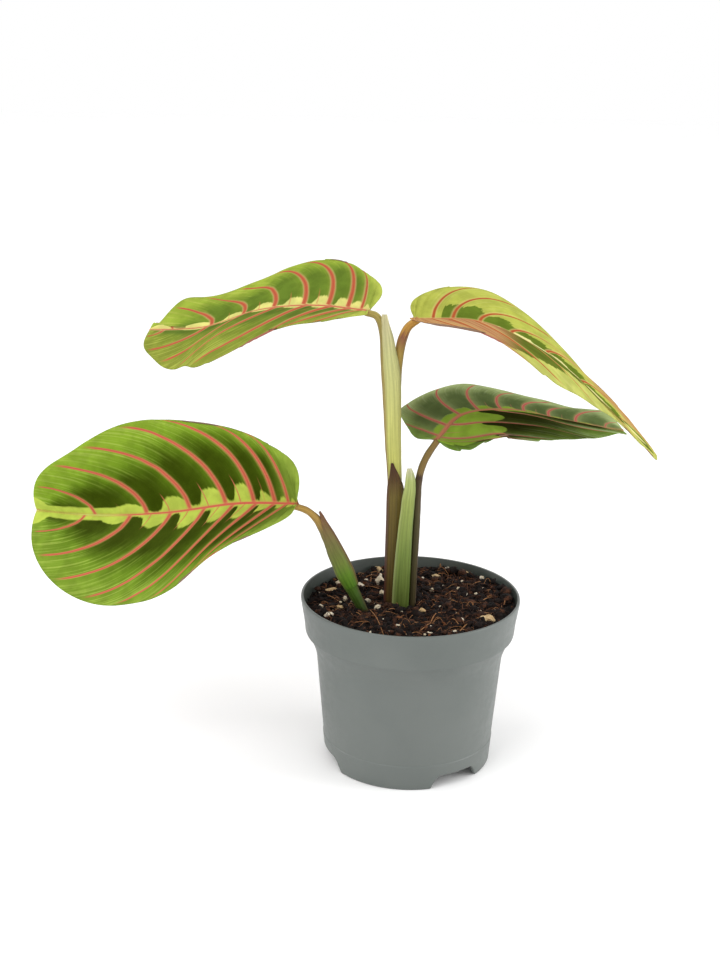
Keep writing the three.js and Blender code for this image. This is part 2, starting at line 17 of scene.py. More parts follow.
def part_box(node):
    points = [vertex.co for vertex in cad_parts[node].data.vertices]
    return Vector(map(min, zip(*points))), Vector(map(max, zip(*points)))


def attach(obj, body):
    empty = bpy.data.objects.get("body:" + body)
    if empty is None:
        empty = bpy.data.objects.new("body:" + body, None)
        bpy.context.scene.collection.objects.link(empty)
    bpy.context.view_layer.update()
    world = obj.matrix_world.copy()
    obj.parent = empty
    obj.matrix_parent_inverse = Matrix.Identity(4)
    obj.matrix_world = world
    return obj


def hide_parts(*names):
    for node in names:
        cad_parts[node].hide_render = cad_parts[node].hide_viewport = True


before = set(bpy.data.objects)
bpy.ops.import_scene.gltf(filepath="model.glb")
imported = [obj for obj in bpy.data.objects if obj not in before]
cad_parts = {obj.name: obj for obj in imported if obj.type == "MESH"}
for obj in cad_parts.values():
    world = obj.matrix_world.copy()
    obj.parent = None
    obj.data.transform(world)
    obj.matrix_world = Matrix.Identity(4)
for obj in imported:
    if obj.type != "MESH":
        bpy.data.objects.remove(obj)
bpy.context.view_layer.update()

MM = 0.001
POT_LOW, POT_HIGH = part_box("pot")
POT_PLACE = np.array([(POT_LOW.x + POT_HIGH.x) / 2, (POT_LOW.y + POT_HIGH.y) / 2, 0.0])
BODY = "root"

# How bright a white surface shows under the studio light, against full white.
LIGHT_LEVEL = 1.28

# Camera: a 60 mm lens on a frame 36 mm high, looking a little down at the pot.
LENS = 60.0
FRAME_HEIGHT = 36.0
CAMERA_PITCH = 17.82
CAMERA_ROLL = 0.8
CAMERA_PLACE = (-21.35, -611.82, 316.92)
PHOTO_CENTRE = (360, 480)
PIXELS_PER_TANGENT = 1600

# Pot.
POT_HEIGHT = 71.4
POT_SEGMENTS = 240
FLOOR_UNDERSIDE = 6.4
FLOOR_TOP = 8.0
BODY_SLOPE = (38.5 - 34.6) / 48.2
# Notches in the foot: middle and half-width, in degrees round from the front towards +X.
NOTCHES = ((34, 19), (158, 19), (282, 25))
NOTCH_HEIGHT = 5.6
DRAIN_RADIUS = 3
DRAIN_CIRCLE = 22
DRAIN_COUNT = 6
DRAIN_SIDES = 32
FOOT_INSIDE = 30
POT_STEP = 3
CORNER_STEPS = 4
# Radius, height and corner rounding, from the outside of the foot up and over to the floor.
POT_OUTLINE = [
    (0, FLOOR_UNDERSIDE, 0), (33, FLOOR_UNDERSIDE, 0.6), (33, 0, 0.3), (34.6, 0, 0.8),
    (35.5, 10.6, 0.1), (35.3, 10.9, 0.1), (38.5, 47.8, 3.2), (41.9, 56.2, 0.3), (42.9, 56.3, 0.08),
    (43.1, 57, 0.1), (43.6, 62, 2), (44.3, 66, 2), (45.0, 70.4, 0.6), (44.8, 71.4, 0.35),
    (43.9, 71.4, 0.3),
    (43.3, 68, 1), (42.0, 62, 2), (41.4, 56.6, 1), (36.9, 47.6, 1), (33.9, FLOOR_TOP, 0.8),
    (0, FLOOR_TOP, 0),
]

# Potting mix.
MIX_LEVEL = 67.9
MIX_RISE_FRONT = 0.9
MIX_RISE_RIGHT = 0.6
MIX_RADIUS = 43.0
MIX_SIDE = [(41, 57), (36.5, 47.6), (33.6, FLOOR_TOP + 0.1)]
MIX_RINGS = 100
MIX_SEGMENTS = 260
MIX_SEED = 7
CRUMB_COUNT = 2200
GRAIN_COUNT = 110
BARK_COUNT = 40
FIBRE_COUNT = 820
# How far out loose grains may lie, and the bits that are placed by their pixels.
SPOT_REACH = 41.3
MARKED_REACH = 40.8
# Where stalks stand in the mix, and how much room is kept round them.
STALK_FEET = [(-17.9, -9, 3.2), (-7.2, 1, 4.6), (-2.7, -5, 5)]

# Blades: s runs along from 0 at the stalk to 1 at the tip, w out along a side vein to the margin.
# Turns are in degrees at the stalk, the middle and the tip. veins_* are the first side vein and the
# even step to the next, start_power how late the veins of the back and front halves leave the
# midrib. margin lists where the edge swells or draws in: half, place, spread and share of the width.
BLADE_THICKNESS = 0.42
MIDRIB_DEPTH = 1.1
VEIN_SWEEP = math.radians(80)
VEIN_START = 0.08
FIRST_VEIN = 3
SPINE_GAP = 0.05
MIDRIB_SPREAD = 1.2
QUILT_HEIGHT = 0.45
VEIN_GROOVE = 0.22
GROOVE_REACH = 0.7
RIPPLE_HEIGHT = 0.08
RIPPLES = 9.3
BLADE_ROWS = 230
BLADE_COLUMNS = 26
UV_UNIT = 100
VEIN_CORE = (0.94, 0.82, 0.82)
FLUSH_DEEP = (182, 112, 84)
FLUSH_PALE = (208, 160, 110)

LEAVES = {
    "leaf_lower_left": {
        "front": 1, "half_width": 41,
        "midrib": [(-46, -13, 114), (-71, 1, 109), (-101, 15, 100), (-132, 28, 94), (-161, 42, 91)],
        "roll": (50, 60, 75), "fold": (45, 30, 35), "curl_front": -10, "curl_back": -5,
        "base_blunt": 0.6, "tip_blunt": 1.1,
        "lobe": 0.03, "wave": 0.3, "waves": 3.5, "wave_phase": 0.3,
        "veins_front": (0.28, 0.09), "veins_back": (0.26, 0.105), "start_power": (2.15, 2.15),
        "margin": [
            ("back", 0.06, 0.06, 0.12), ("back", 0.28, 0.2, -0.1), ("back", 0.72, 0.12, -0.12),
            ("front", 0.14, 0.1, 0.1), ("front", 0.36, 0.12, 0.14), ("front", 0.58, 0.15, 0.1),
        ],
    },
    "leaf_upper_left": {
        "front": 1, "half_width": 33,
        "midrib": [(-19, 0, 189), (-41, 9, 189), (-63, 18, 185), (-86, 31, 175), (-110, 42, 171)],
        "roll": (15, 14, 32), "fold": (25, 10, 5), "curl_front": -20, "curl_back": -5,
        "base_blunt": 0.6, "tip_blunt": 0.9,
        "lobe": 0.03, "wave": 0.25, "waves": 3, "wave_phase": 0.6,
        "veins_front": (0.24, 0.104), "veins_back": (0.215, 0.104), "start_power": (1.8, 2.0),
        "margin": [
            ("back", 0.18, 0.1, -0.12), ("back", 0.4, 0.1, 0.03), ("back", 0.7, 0.1, -0.22),
            ("back", 0.9, 0.055, -0.8), ("front", 0.18, 0.1, 0.1), ("front", 0.5, 0.08, 0.35),
            ("front", 0.82, 0.1, -0.15),
        ],
    },
    "leaf_upper_right": {
        "front": -1, "half_width": 34,
        "midrib": [(-1, 1, 186), (26, 0, 185), (51, 0, 173), (75, 0, 153), (97, 0, 132)],
        "roll": (3, 0, 3), "fold": (18, 10, -3), "curl_front": -20, "curl_back": 1,
        "base_blunt": 0.6, "tip_blunt": 0.75,
        "lobe": 0.02, "wave": 0.25, "waves": 2.5, "wave_phase": 0.1,
        "veins_front": (0.31, 0.1), "veins_back": (0.31, 0.1), "start_power": (2.0, 2.15),
        "margin": [
            ("back", 0.6, 0.2, -0.48), ("back", 0.88, 0.07, -0.35), ("front", 0.46, 0.08, 0.3),
            ("front", 0.72, 0.12, -0.7), ("front", 0.87, 0.1, -0.7),
        ],
    },
    "leaf_lower_right": {
        "front": -1, "half_width": 30,
        "midrib": [(9, 5, 136), (20, 18, 143), (41, 30, 142), (65, 40, 135), (91, 46, 129)],
        "roll": (5, 7, 7), "fold": (5, 9, 14), "curl_front": -15, "curl_back": -10,
        "base_blunt": 0.65, "tip_blunt": 0.9,
        "lobe": 0.03, "wave": 0.5, "waves": 4.5, "wave_phase": 0.45,
        "veins_front": (0.3, 0.17), "veins_back": (0.14, 0.1), "start_power": (1.35, 4.5),
        "margin": [
            ("back", 0.2, 0.04, 0.1), ("back", 0.65, 0.2, -0.5), ("front", 0.07, 0.06, 0.25),
            ("front", 0.085, 0.012, -0.15), ("front", 0.42, 0.08, 0.15), ("front", 0.82, 0.15, -0.35),
        ],
    },
}

# Blade colours, as the eye sees them (0 to 255), and the sizes of their marks. Pairs are for the
# back half and the front half. band is how far the pale band beside the midrib reaches out and
# dark_end how far the dark blotches do, as shares of the side vein. base_to is the share of the
# length where the marks by the stalk end. band_base, band_tip and band_end are factors on the band
# by the stalk, in the outer half and at the tip. band_fill is how far its lobes run together by the
# stalk, where the whole blade takes base_tint. second is the strength of the short veins halfway
# between the others. tip_reach is half the width, in millimetres, of the pale strip that ends at
# the tip. dark_from is the side vein where the blotches begin, and flush is a blush of pink.
PLAIN_LOOK = {
    "band_base": (0.0, 0.0), "band_tip": 1.0, "band_end": 0.0, "band_fill": 0.0, "tip_reach": 0.0,
    "dark_soft": 0.4, "dark_from": 0.0, "flush": 0.0,
}
BLADE_LOOKS = {
    "leaf_lower_left": {
        "mid": ((112, 148, 34), (104, 138, 34)), "margin": ((140, 170, 52), (124, 152, 50)),
        "line": (168, 190, 84), "base_tint": (150, 172, 70),
        "dark": ((56, 70, 10), (58, 70, 16)), "band_color": (190, 208, 86),
        "vein": (212, 118, 90), "vein_edge": (206, 150, 96), "midrib": (208, 104, 84),
        "midrib_end": (198, 214, 112), "vein_width": (0.85, 0.85), "base_to": 0.13,
        "band": (0.16, 0.19), "band_base": (0.4, 0.4), "second": 0.85, "tip_reach": 3.4,
        "dark_end": (0.58, 0.58), "red_until": 0.7,
    },
    "leaf_upper_left": {
        "mid": ((138, 162, 54), (126, 142, 52)), "margin": ((158, 178, 66), (140, 150, 60)),
        "line": (182, 190, 88), "base_tint": (184, 194, 88),
        "dark": ((100, 124, 44), (96, 118, 46)), "band_color": (224, 220, 128),
        "vein": (198, 110, 78), "vein_edge": (220, 178, 124), "midrib": (204, 118, 90),
        "midrib_end": (214, 116, 104), "vein_width": (0.85, 1.2), "base_to": 0.16,
        "band": (0.13, 0.1), "band_base": (0.9, 0.9), "band_end": 3.5, "band_fill": 0.5,
        "second": 0.5, "dark_end": (0.6, 0.4), "red_until": 0.95,
    },
    # The upper right blade's pale yellow-green colours are partly its own and partly painted light:
    # the glow of light shining through the thin blade.
    "leaf_upper_right": {
        "mid": ((178, 184, 80), (184, 188, 86)), "margin": ((178, 184, 84), (188, 192, 100)),
        "line": (204, 204, 118), "base_tint": (178, 184, 80),
        "dark": ((98, 120, 38), (92, 106, 36)), "band_color": (230, 222, 152),
        "vein": (186, 104, 62), "vein_edge": (218, 190, 124), "midrib": (198, 118, 84),
        "midrib_end": (190, 106, 76), "vein_width": (0.65, 1.0), "base_to": 0.34,
        "band": (0.11, 0.5), "second": 0.0, "dark_end": (0.3, 0.74), "dark_soft": 0.05,
        "dark_from": 3.3, "red_until": 0.95, "flush": 0.85,
    },
    # The lower right blade's two halves are lit and shaded copies of one colouring: the back half's
    # mid, margin and dark colours are painted lighter and greyer than the front half's, painted light
    # on a half that the lamps leave in shade.
    "leaf_lower_right": {
        "mid": ((150, 166, 106), (84, 98, 38)), "margin": ((162, 178, 118), (116, 146, 60)),
        "line": (180, 194, 146), "base_tint": (112, 146, 56),
        "dark": ((86, 102, 58), (42, 46, 14)), "band_color": (136, 168, 58),
        "vein": (192, 116, 100), "vein_edge": (170, 140, 96), "midrib": (196, 126, 96),
        "midrib_end": (190, 144, 100), "vein_width": (0.62, 0.55), "base_to": 0.34,
        "band": (0.1, 0.3), "band_base": (1.2, 2.1), "band_tip": 0.6, "band_fill": 0.8,
        "second": 0.3, "dark_end": (0.62, 0.85), "dark_soft": 0.5, "red_until": 0.9,
    },
}

# Stalks: x, y, z, half-width, half-depth, from the foot in the mix upwards.
STALK_LOWER_LEFT = [
    (-14.4, -8.6, 55.5, 1.3, 1.3), (-17.9, -9, 64.9, 1.6, 1.5), (-20.7, -9.2, 70.3, 2.1, 1.7),
    (-23.2, -9.5, 75.5, 2.4, 1.9), (-25.3, -9.8, 80, 2.9, 2.1), (-27.1, -10, 84.3, 3.2, 2.1),
    (-29.1, -10.2, 89.5, 3.2, 2), (-31.4, -10.5, 94.5, 3, 1.9), (-34.2, -10.8, 100.6, 2.5, 1.8),
    (-36.9, -11.2, 105.4, 1.9, 1.6), (-39.6, -11.9, 109, 1.45, 1.45),
    (-42.8, -12.5, 111.6, 1.35, 1.35),
    (-47.5, -13, 113.3, 1.3, 1.3),
]
STALK_UPPER_LEFT = [
    (-7.9, 0, 55, 1.7, 1.8), (-8, 0, 86, 1.7, 1.8), (-8.4, 0, 103, 1.6, 1.7),
    (-8.9, 0, 121, 1.5, 1.6),
    (-10, 0, 134, 1.5, 1.6), (-10.8, 0, 146, 1.5, 1.6), (-11.6, 0, 157, 1.45, 1.5),
    (-12.5, 0, 168, 1.4, 1.4), (-13, 0, 177, 1.35, 1.35), (-13.5, 0, 181.5, 1.35, 1.35),
    (-14.5, 0, 185.2, 1.4, 1.4), (-16.3, 0, 187.6, 1.35, 1.35), (-20.2, 0, 188.6, 1.2, 1.2),
]
STALK_UPPER_RIGHT = [
    (-6.2, 3.9, 55, 1.4, 1.4), (-6.2, 3.9, 70, 1.5, 1.5), (-6.1, 3.95, 100, 1.5, 1.5),
    (-6.3, 3.8, 125, 1.5, 1.5), (-7, 2.9, 148, 1.45, 1.5), (-7.1, 2.2, 158, 1.45, 1.5),
    (-7, 1.4, 168, 1.7, 1.5), (-6.3, 1.2, 174.5, 1.85, 1.6), (-5.2, 1.3, 179, 1.75, 1.6),
    (-3.2, 1.5, 183, 1.6, 1.5), (0.8, 1.5, 186, 1.3, 1.3),
]
STALK_LOWER_RIGHT = [
    (0.5, -3.5, 55, 1.3, 1.3), (0.5, -3.5, 68, 1.5, 1.5), (0.9, -3.4, 84, 1.5, 1.5),
    (1.5, -3.2, 100, 1.5, 1.5), (1.75, -2.4, 112, 1.5, 1.5), (2.1, -0.6, 119.5, 1.45, 1.45),
    (3.3, 1.6, 125, 1.4, 1.4), (5.7, 3.8, 130, 1.4, 1.4), (9.6, 5.6, 135.6, 1.3, 1.3),
]
# Sheaths are open round their stalk: the last two numbers are the angles where the wall starts
# and ends, 180 at the left, 270 at the front, 360 at the right.
SHEATH_PALE = [
    (-7.1, 0, 100, 2.5, 2.2, 150, 385), (-7.2, 0, 112, 2.5, 2.25, 150, 385),
    (-7.4, 0, 121, 2.55, 2.3, 150, 385),
    (-8.2, 0, 134, 2.8, 2.4, 150, 385), (-8.6, 0, 146, 2.95, 2.45, 150, 385),
    (-8.9, 0, 155, 3.1, 2.5, 150, 380),
    (-9.2, 0, 161, 3.2, 2.45, 152, 372), (-9.7, 0, 167, 3.2, 2.35, 155, 350),
    (-10.4, 0, 173, 3, 2.2, 160, 330),
    (-11.1, 0, 179, 2.7, 2, 165, 318), (-11.9, 0, 184, 2.2, 1.8, 175, 305),
    (-12.2, 0, 188.3, 1.7, 1.6, 220, 285),
]
SHEATH_GREEN = [
    (-4.4, -6, 55, 2.7, 1.9, 120, 400), (-4.3, -6, 68, 3.1, 2, 120, 400),
    (-3.75, -6, 84.5, 3, 2, 125, 400),
    (-2.9, -5.9, 101, 2.6, 1.9, 130, 395), (-2.25, -5.6, 109, 2.4, 1.7, 140, 390),
    (-1.9, -5.2, 114, 2.3, 1.5, 150, 385),
    (-1.3, -4.7, 119, 2, 1.3, 165, 370), (-1.3, -4.4, 123.5, 1.7, 1.1, 185, 345),
    (-1.6, -4.3, 127, 1.4, 1, 225, 300),
]
SHEATH_BROWN = [
    (-7.4, 0, 57, 3.15, 2.65, 160, 382), (-7.4, 0, 67, 3.2, 2.75, 160, 382),
    (-7.2, 0, 86, 3.3, 2.8, 160, 382),
    (-7, 0, 103, 3.3, 2.8, 162, 380), (-6.95, 0, 112, 3.35, 2.8, 168, 372),
    (-7, 0, 117, 3.35, 2.8, 190, 345),
    (-7.2, 0, 122, 3.4, 2.85, 222, 305), (-7.5, 0, 126, 3.45, 2.9, 240, 275),
    (-7.7, 0, 128.4, 3.5, 2.95, 250, 258),
]
SHEATH_LOWER_LEFT = [
    (-24.2, -9.6, 78.5, 2.8, 2.2, 175, 375), (-25.6, -9.8, 81.5, 3.3, 2.4, 172, 382),
    (-27, -10, 84.6, 3.65, 2.45, 172, 385), (-29.1, -10.2, 89.5, 3.5, 2.35, 185, 382),
    (-31.4, -10.5, 94.5, 3.3, 2.25, 205, 378), (-34, -10.8, 100.4, 2.8, 2.1, 240, 372),
    (-36.2, -11.1, 105, 2.3, 1.9, 270, 366), (-37.4, -11.3, 108.2, 1.9, 1.6, 290, 350),
    (-38.2, -11.4, 110.6, 1.5, 1.3, 300, 330),
]


def place(points):
    """Millimetres from the pot's foot to metres in the frame."""
    return np.asarray(points, float) * MM + POT_PLACE


def linear(color):
    """The shader's own colour in this light for a colour as it shows, 0 to 255."""
    parts = [c / 255 for c in color]
    light = [c / 12.92 if c <= 0.04045 else ((c + 0.055) / 1.055) ** 2.4 for c in parts]
    return tuple(c / LIGHT_LEVEL for c in light) + (1.0,)


def smooth(values, t):
    """A smooth line through values at even steps of t from 0 to 1."""
    v = np.asarray(values, float)
    t = np.asarray(t, float)
    extended = np.concatenate([[2 * v[0] - v[1]], v, [2 * v[-1] - v[-2]]])
    x = np.clip(t, 0, 1) * (len(v) - 1)
    i = np.minimum(x.astype(int), len(v) - 2)
    f = x - i
    if v.ndim == 2:
        f = f[..., None]
    a, b, c, d = extended[i], extended[i + 1], extended[i + 2], extended[i + 3]
    square = 2 * a - 5 * b + 4 * c - d
    cube = 3 * b - a - 3 * c + d
    return 0.5 * (2 * b + (c - a) * f + square * f**2 + cube * f**3)


def unit(v):
    return v / np.maximum(np.linalg.norm(v, axis=-1, keepdims=True), 1e-12)


def direction(values, t, step):
    """Which way a smooth line runs at t."""
    after = smooth(values, np.minimum(t + step, 1))
    return unit(after - smooth(values, np.maximum(t - step, 0)))


def pairs(a, b):
    """Two arrays as one list of pairs."""
    return np.stack(np.broadcast_arrays(a, b), -1).reshape(-1, 2).tolist()


class Skin:
    """A surface under construction. A corner holds a point's number and its place on the UV maps,
    so one point can have several corners, and faces are rows of corners."""

    def __init__(self):
        self.points = []
        self.corner_point = []
        self.maps = {}
        self.faces = []
        self.face_material = []

    def add_points(self, points):
        first = len(self.points)
        self.points.extend(np.asarray(points, float).reshape(-1, 3))
        return first

    def add_corners(self, point_numbers, **maps):
        first = len(self.corner_point)
        self.corner_point.extend(point_numbers)
        for name, values in maps.items():
            self.maps.setdefault(name, []).extend(values)
        return first

    def face(self, corners, material=0):
        kept = []
        seen = set()
        for c in corners:
            if self.corner_point[c] not in seen:
                seen.add(self.corner_point[c])
                kept.append(c)
        if len(kept) > 2:
            self.faces.append(kept)
            self.face_material.append(material)

    def grid(self, first, rows, columns, flip=False, material=0):
        for i in range(1, rows):
            for j in range(1, columns):
                a = first + (i - 1) * columns + j - 1
                b = a + columns
                quad = [a, a + 1, b + 1, b] if flip else [a, b, b + 1, a + 1]
                self.face(quad, material)

    def normals(self):
        points = np.array(self.points)
        numbers = np.array(self.corner_point)
        result = np.zeros_like(points)
        for size in (3, 4):
            rows = [f for f in self.faces if len(f) == size]
            if not rows:
                continue
            ids = numbers[np.array(rows)]
            p = points[ids]
            across = p[:, 2] - p[:, 0]
            other = p[:, -1] - p[:, 1] if size == 4 else p[:, 1] - p[:, 0]
            n = np.cross(across, other) if size == 4 else np.cross(other, across)
            for k in range(size):
                np.add.at(result, ids[:, k], n)
        return unit(result)

    def thicken(self, above, below, back_material):
        """Makes the open surface a closed body, above and below measured along its normals."""
        n = self.normals()
        flat = np.array(self.points)
        count = len(flat)
        top = flat + n * np.reshape(above, (-1, 1))
        bottom = flat - n * np.reshape(below, (-1, 1))
        self.points = list(np.concatenate([top, bottom]))
        corners = len(self.corner_point)
        self.corner_point.extend([p + count for p in self.corner_point[:corners]])
        for values in self.maps.values():
            values.extend(values[:corners])
        edges = {}
        for face in list(self.faces):
            self.faces.append([c + corners for c in reversed(face)])
            self.face_material.append(back_material)
            for a, b in zip(face, face[1:] + face[:1]):
                key = (self.corner_point[b], self.corner_point[a])
                if key in edges:
                    del edges[key]
                else:
                    edges[(self.corner_point[a], self.corner_point[b])] = (a, b)
        for a, b in edges.values():
            self.faces.append([b, a, a + corners, b + corners])
            self.face_material.append(0)

    def build(self, name, materials, replaces=()):
        mesh = bpy.data.meshes.new(name)
        numbers = self.corner_point
        mesh.from_pydata(place(self.points), [], [[numbers[c] for c in f] for f in self.faces])
        order = np.array([c for f in self.faces for c in f])
        for map_name, values in self.maps.items():
            layer = mesh.uv_layers.new(name=map_name)
            layer.data.foreach_set("uv", np.array(values, np.float32)[order].ravel())
        for material in materials:
            mesh.materials.append(material)
        mesh.polygons.foreach_set("material_index", np.array(self.face_material, np.int32))
        mesh.shade_smooth()
        mesh.update()
        piece = bpy.data.objects.new(name, mesh)
        bpy.context.scene.collection.objects.link(piece)
        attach(piece, BODY)
        if replaces:
            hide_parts(*replaces)
        return piece


class Value:
    """What a shader's node gives, which can be added to, subtracted from and multiplied."""

    def __init__(self, shader, socket):
        self.shader = shader
        self.socket = socket

    def __add__(self, other):
        return self.shader.math("ADD", self, other)

    def __sub__(self, other):
        return self.shader.math("SUBTRACT", self, other)

    def __rsub__(self, other):
        return self.shader.math("SUBTRACT", other, self)

    def __mul__(self, other):
        return self.shader.math("MULTIPLY", self, other)


class Shader:
    """A Principled material whose pattern is built from values, numbers and colours."""

    def __init__(self, name, roughness, specular):
        self.material = bpy.data.materials.new(name)
        self.material.use_nodes = True
        self.tree = self.material.node_tree
        self.surface = self.tree.nodes["Principled BSDF"]
        self.surface.inputs["Roughness"].default_value = roughness
        self.surface.inputs["Specular IOR Level"].default_value = specular

    def feed(self, socket, value):
        if isinstance(value, Value):
            self.tree.links.new(value.socket, socket)
        else:
            socket.default_value = value

    def node(self, kind, inputs, output=0, **settings):
        """Adds a node, sets it up and feeds its inputs, given by number or name."""
        node = self.tree.nodes.new("ShaderNode" + kind)
        for setting, value in settings.items():
            setattr(node, setting, value)
        for key, value in inputs.items():
            self.feed(node.inputs[key], value)
        return Value(self, node.outputs[output])

    def math(self, operation, a, b=0.0):
        return self.node("Math", {0: a, 1: b}, operation=operation)

    def size(self, value):
        return self.math("ABSOLUTE", value)

    def least(self, a, b):
        return self.math("MINIMUM", a, b)

    def fade(self, value, start, end, low=0.0, high=1.0):
        """Goes smoothly from low where value is start to high where it is end."""
        inputs = dict(enumerate((value, start, end, low, high)))
        return self.node("MapRange", inputs, interpolation_type="SMOOTHSTEP")

    def curve(self, value, points):
        curve = self.node("FloatCurve", {1: value})
        mapping = curve.socket.node.mapping
        line = mapping.curves[0]
        while len(line.points) < len(points):
            line.points.new(0.5, 0.5)
        for point, (x, y) in zip(line.points, points):
            point.location = (x, y)
        mapping.update()
        return curve

    def mix(self, factor, a, b, kind="MIX"):
        """Mixes two colours, each a value or three numbers as the eye sees them."""
        a, b = (linear(c) if isinstance(c, tuple) else c for c in (a, b))
        return self.node("Mix", {0: factor, 6: a, 7: b}, 2, data_type="RGBA", blend_type=kind)

    def shade(self, color, level):
        return self.mix(1.0, color, self.join(level, level, level), "MULTIPLY")

    def choose(self, factor, a, b):
        return self.node("Mix", {0: factor, 2: a, 3: b})

    def join(self, x, y, z=0.0):
        return self.node("CombineXYZ", {0: x, 1: y, 2: z})

    def uv(self, name):
        both = self.node("UVMap", {}, uv_map=name)
        return [self.node("SeparateXYZ", {0: both}, k) for k in (0, 1)]

    def place(self):
        return self.node("TexCoord", {}, "Object")

    def noise(self, vector, scale, detail, roughness, dimensions="3D"):
        inputs = {"Vector": vector, "Scale": scale, "Detail": detail, "Roughness": roughness}
        return self.node("TexNoise", inputs, noise_dimensions=dimensions)

    def flat_noise(self, x, y, scale, detail, roughness):
        return self.noise(self.join(x, y), scale, detail, roughness, "2D")

    def ramp(self, value, stops):
        ramp = self.node("ValToRGB", {0: value})
        elements = ramp.socket.node.color_ramp.elements
        while len(elements) < len(stops):
            elements.new(0.5)
        for element, (at, color) in zip(elements, stops):
            element.position = at
            element.color = linear(color)
        return ramp

    def bump(self, height, strength, distance):
        inputs = {"Strength": strength, "Distance": distance, "Height": height}
        self.feed(self.surface.inputs["Normal"], self.node("Bump", inputs))

    def finish(self, color, roughness=None):
        self.feed(self.surface.inputs["Base Color"], color)
        if roughness is not None:
            self.feed(self.surface.inputs["Roughness"], roughness)
        return self.material


# Blades.

# Reach of the pale band and strength of the dark blotch from one side vein to the next.
BAND_LOBE = [
    (0, 0.55), (0.08, 0.7), (0.2, 0.92), (0.35, 1.0), (0.5, 0.9),
    (0.6, 0.6), (0.7, 0.25), (0.8, 0.14), (0.92, 0.2), (1, 0.45),
]
BLOTCH = [(0, 0.35), (0.12, 0.6), (0.35, 0.9), (0.65, 1.0), (0.9, 0.95), (1, 0.7)]


def vein_streaks(sh, phase, w):
    """Fine streaks that run along the side veins."""
    return sh.flat_noise(phase * 15, w * 1.6, 1.0, 2.0, 0.6)


def read_blade(sh, name):
    """What a blade's marks depend on: places from its UV maps and noises. f goes from 0 on one
    side vein to 1 on the next."""
    blade = SimpleNamespace()
    midrib = LEAVES[name]["midrib"]
    blade.length = sum(math.dist(a, b) for a, b in zip(midrib, midrib[1:])) / UV_UNIT
    blade.phase, blade.w = sh.uv("veins")
    blade.along, out = sh.uv("lay")
    pitch, blade.s = sh.uv("span")
    blade.front = sh.math("GREATER_THAN", out, 0.0)
    blade.out_mm = sh.size(out) * UV_UNIT
    blade.pitch_mm = pitch * UV_UNIT
    blade.streaks = vein_streaks(sh, blade.phase, blade.w)
    blade.cloud = sh.flat_noise(blade.along, out, 14.0, 3.0, 0.55)
    blade.soft = sh.flat_noise(blade.phase * 2.1, blade.w * 3, 1.0, 2.0, 0.5)
    wobble = sh.flat_noise(blade.phase * 0.9, blade.w * 7, 1.0, 1.0, 0.5) - 0.5
    blade.f = sh.math("FRACT", blade.phase + wobble * 0.03)
    return blade


def draw_veins(sh, blade, look, color):
    """Side veins with soft warm edges, and a thin short vein halfway between them."""
    from_vein = sh.least(blade.f, 1.0 - blade.f) * blade.pitch_mm
    size = sh.choose(blade.front, *look["vein_width"]) * sh.fade(blade.w, 0.0, 1.0, 1.15, 0.65)
    size = size * sh.fade(blade.pitch_mm, 1.0, 8.0, 0.3, 1.0)
    size = size * sh.fade(blade.s, 0.82, 0.97, 1.0, 0.5)
    seen = sh.fade(blade.phase, FIRST_VEIN - 0.4, FIRST_VEIN - 0.2)
    edge = sh.fade(from_vein, size + 0.9, size) * sh.fade(blade.w, 0.85, 0.35) * seen
    vein = sh.fade(from_vein, size + 0.12, size - 0.2) * sh.fade(blade.w, 0.99, 0.88) * seen
    deep = tuple(c * k for c, k in zip(look["vein"], VEIN_CORE))
    core = sh.mix(sh.fade(from_vein, size * 0.75, 0.0), look["vein"], deep)
    color = sh.mix(edge * 0.5, color, look["vein_edge"])
    color = sh.mix(vein, color, core)

    thin = sh.fade(blade.w, 0.0, 0.3, 0.34, 0.12)
    from_second = sh.size(blade.f - 0.5) * blade.pitch_mm
    second = sh.fade(from_second, thin + 0.12, thin - 0.12) * sh.fade(blade.w, 0.24, 0.16)
    second = second * sh.fade(blade.s, 0.38, 0.48) * sh.fade(blade.s, 0.86, 0.76) * seen
    return sh.mix(second * look["second"], color, look["vein"])


def draw_midrib(sh, blade, look, color):
    size = sh.fade(blade.along, 0.0, 1.25, 0.8, 0.25)
    until = look["red_until"] * blade.length
    turn = sh.fade(blade.along, until - 0.12, until + 0.06)
    color = sh.mix(sh.fade(blade.out_mm, size + 1.1, size) * 0.45, color, look["vein_edge"])
    rib = sh.fade(blade.out_mm, size + 0.15, size - 0.25)
    return sh.mix(rib, color, sh.mix(turn, look["midrib"], look["midrib_end"]))


def pale_band(sh, blade, look):
    """How far the pale band by the midrib reaches out, and where it and the tip's strip show."""
    length = blade.length
    base_to = look["base_to"] * length
    lobes = sh.curve(blade.f, BAND_LOBE)
    by_stalk = blade.along - (lobes - 0.5) * (base_to * 0.5)
    base = sh.choose(blade.front, *look["band_base"])
    grow = sh.fade(by_stalk, base_to * 0.4, base_to, base, 1.0)
    grow = grow + (1.0 - blade.front) * sh.fade(blade.s, 0.8, 0.95, 0.0, look["band_end"])
    grow = grow * sh.fade(blade.along, length * 0.5, length * 0.62, 1.0, look["band_tip"])
    lobe = sh.choose(sh.fade(by_stalk, base_to, base_to * 0.6, 0.0, look["band_fill"]), lobes, 1.0)
    ragged = (blade.streaks - 0.5) * 0.03 + (blade.soft - 0.5) * 0.06
    edge = sh.choose(blade.front, *look["band"]) * lobe * grow + ragged
    band = sh.fade(blade.w, edge + 0.015, edge - 0.015)
    if look["tip_reach"]:
        flare = sh.fade(blade.along, length * 0.93, length, 0.0, 4.0)
        reach = flare + look["tip_reach"] + (blade.soft - 0.5) * 2.0
        strip = sh.fade(blade.out_mm, reach + 0.5, reach - 0.5)
        strip = strip * sh.fade(blade.along, length * 0.62, length * 0.68)
        band = sh.math("MAXIMUM", band, strip)
    return edge, band


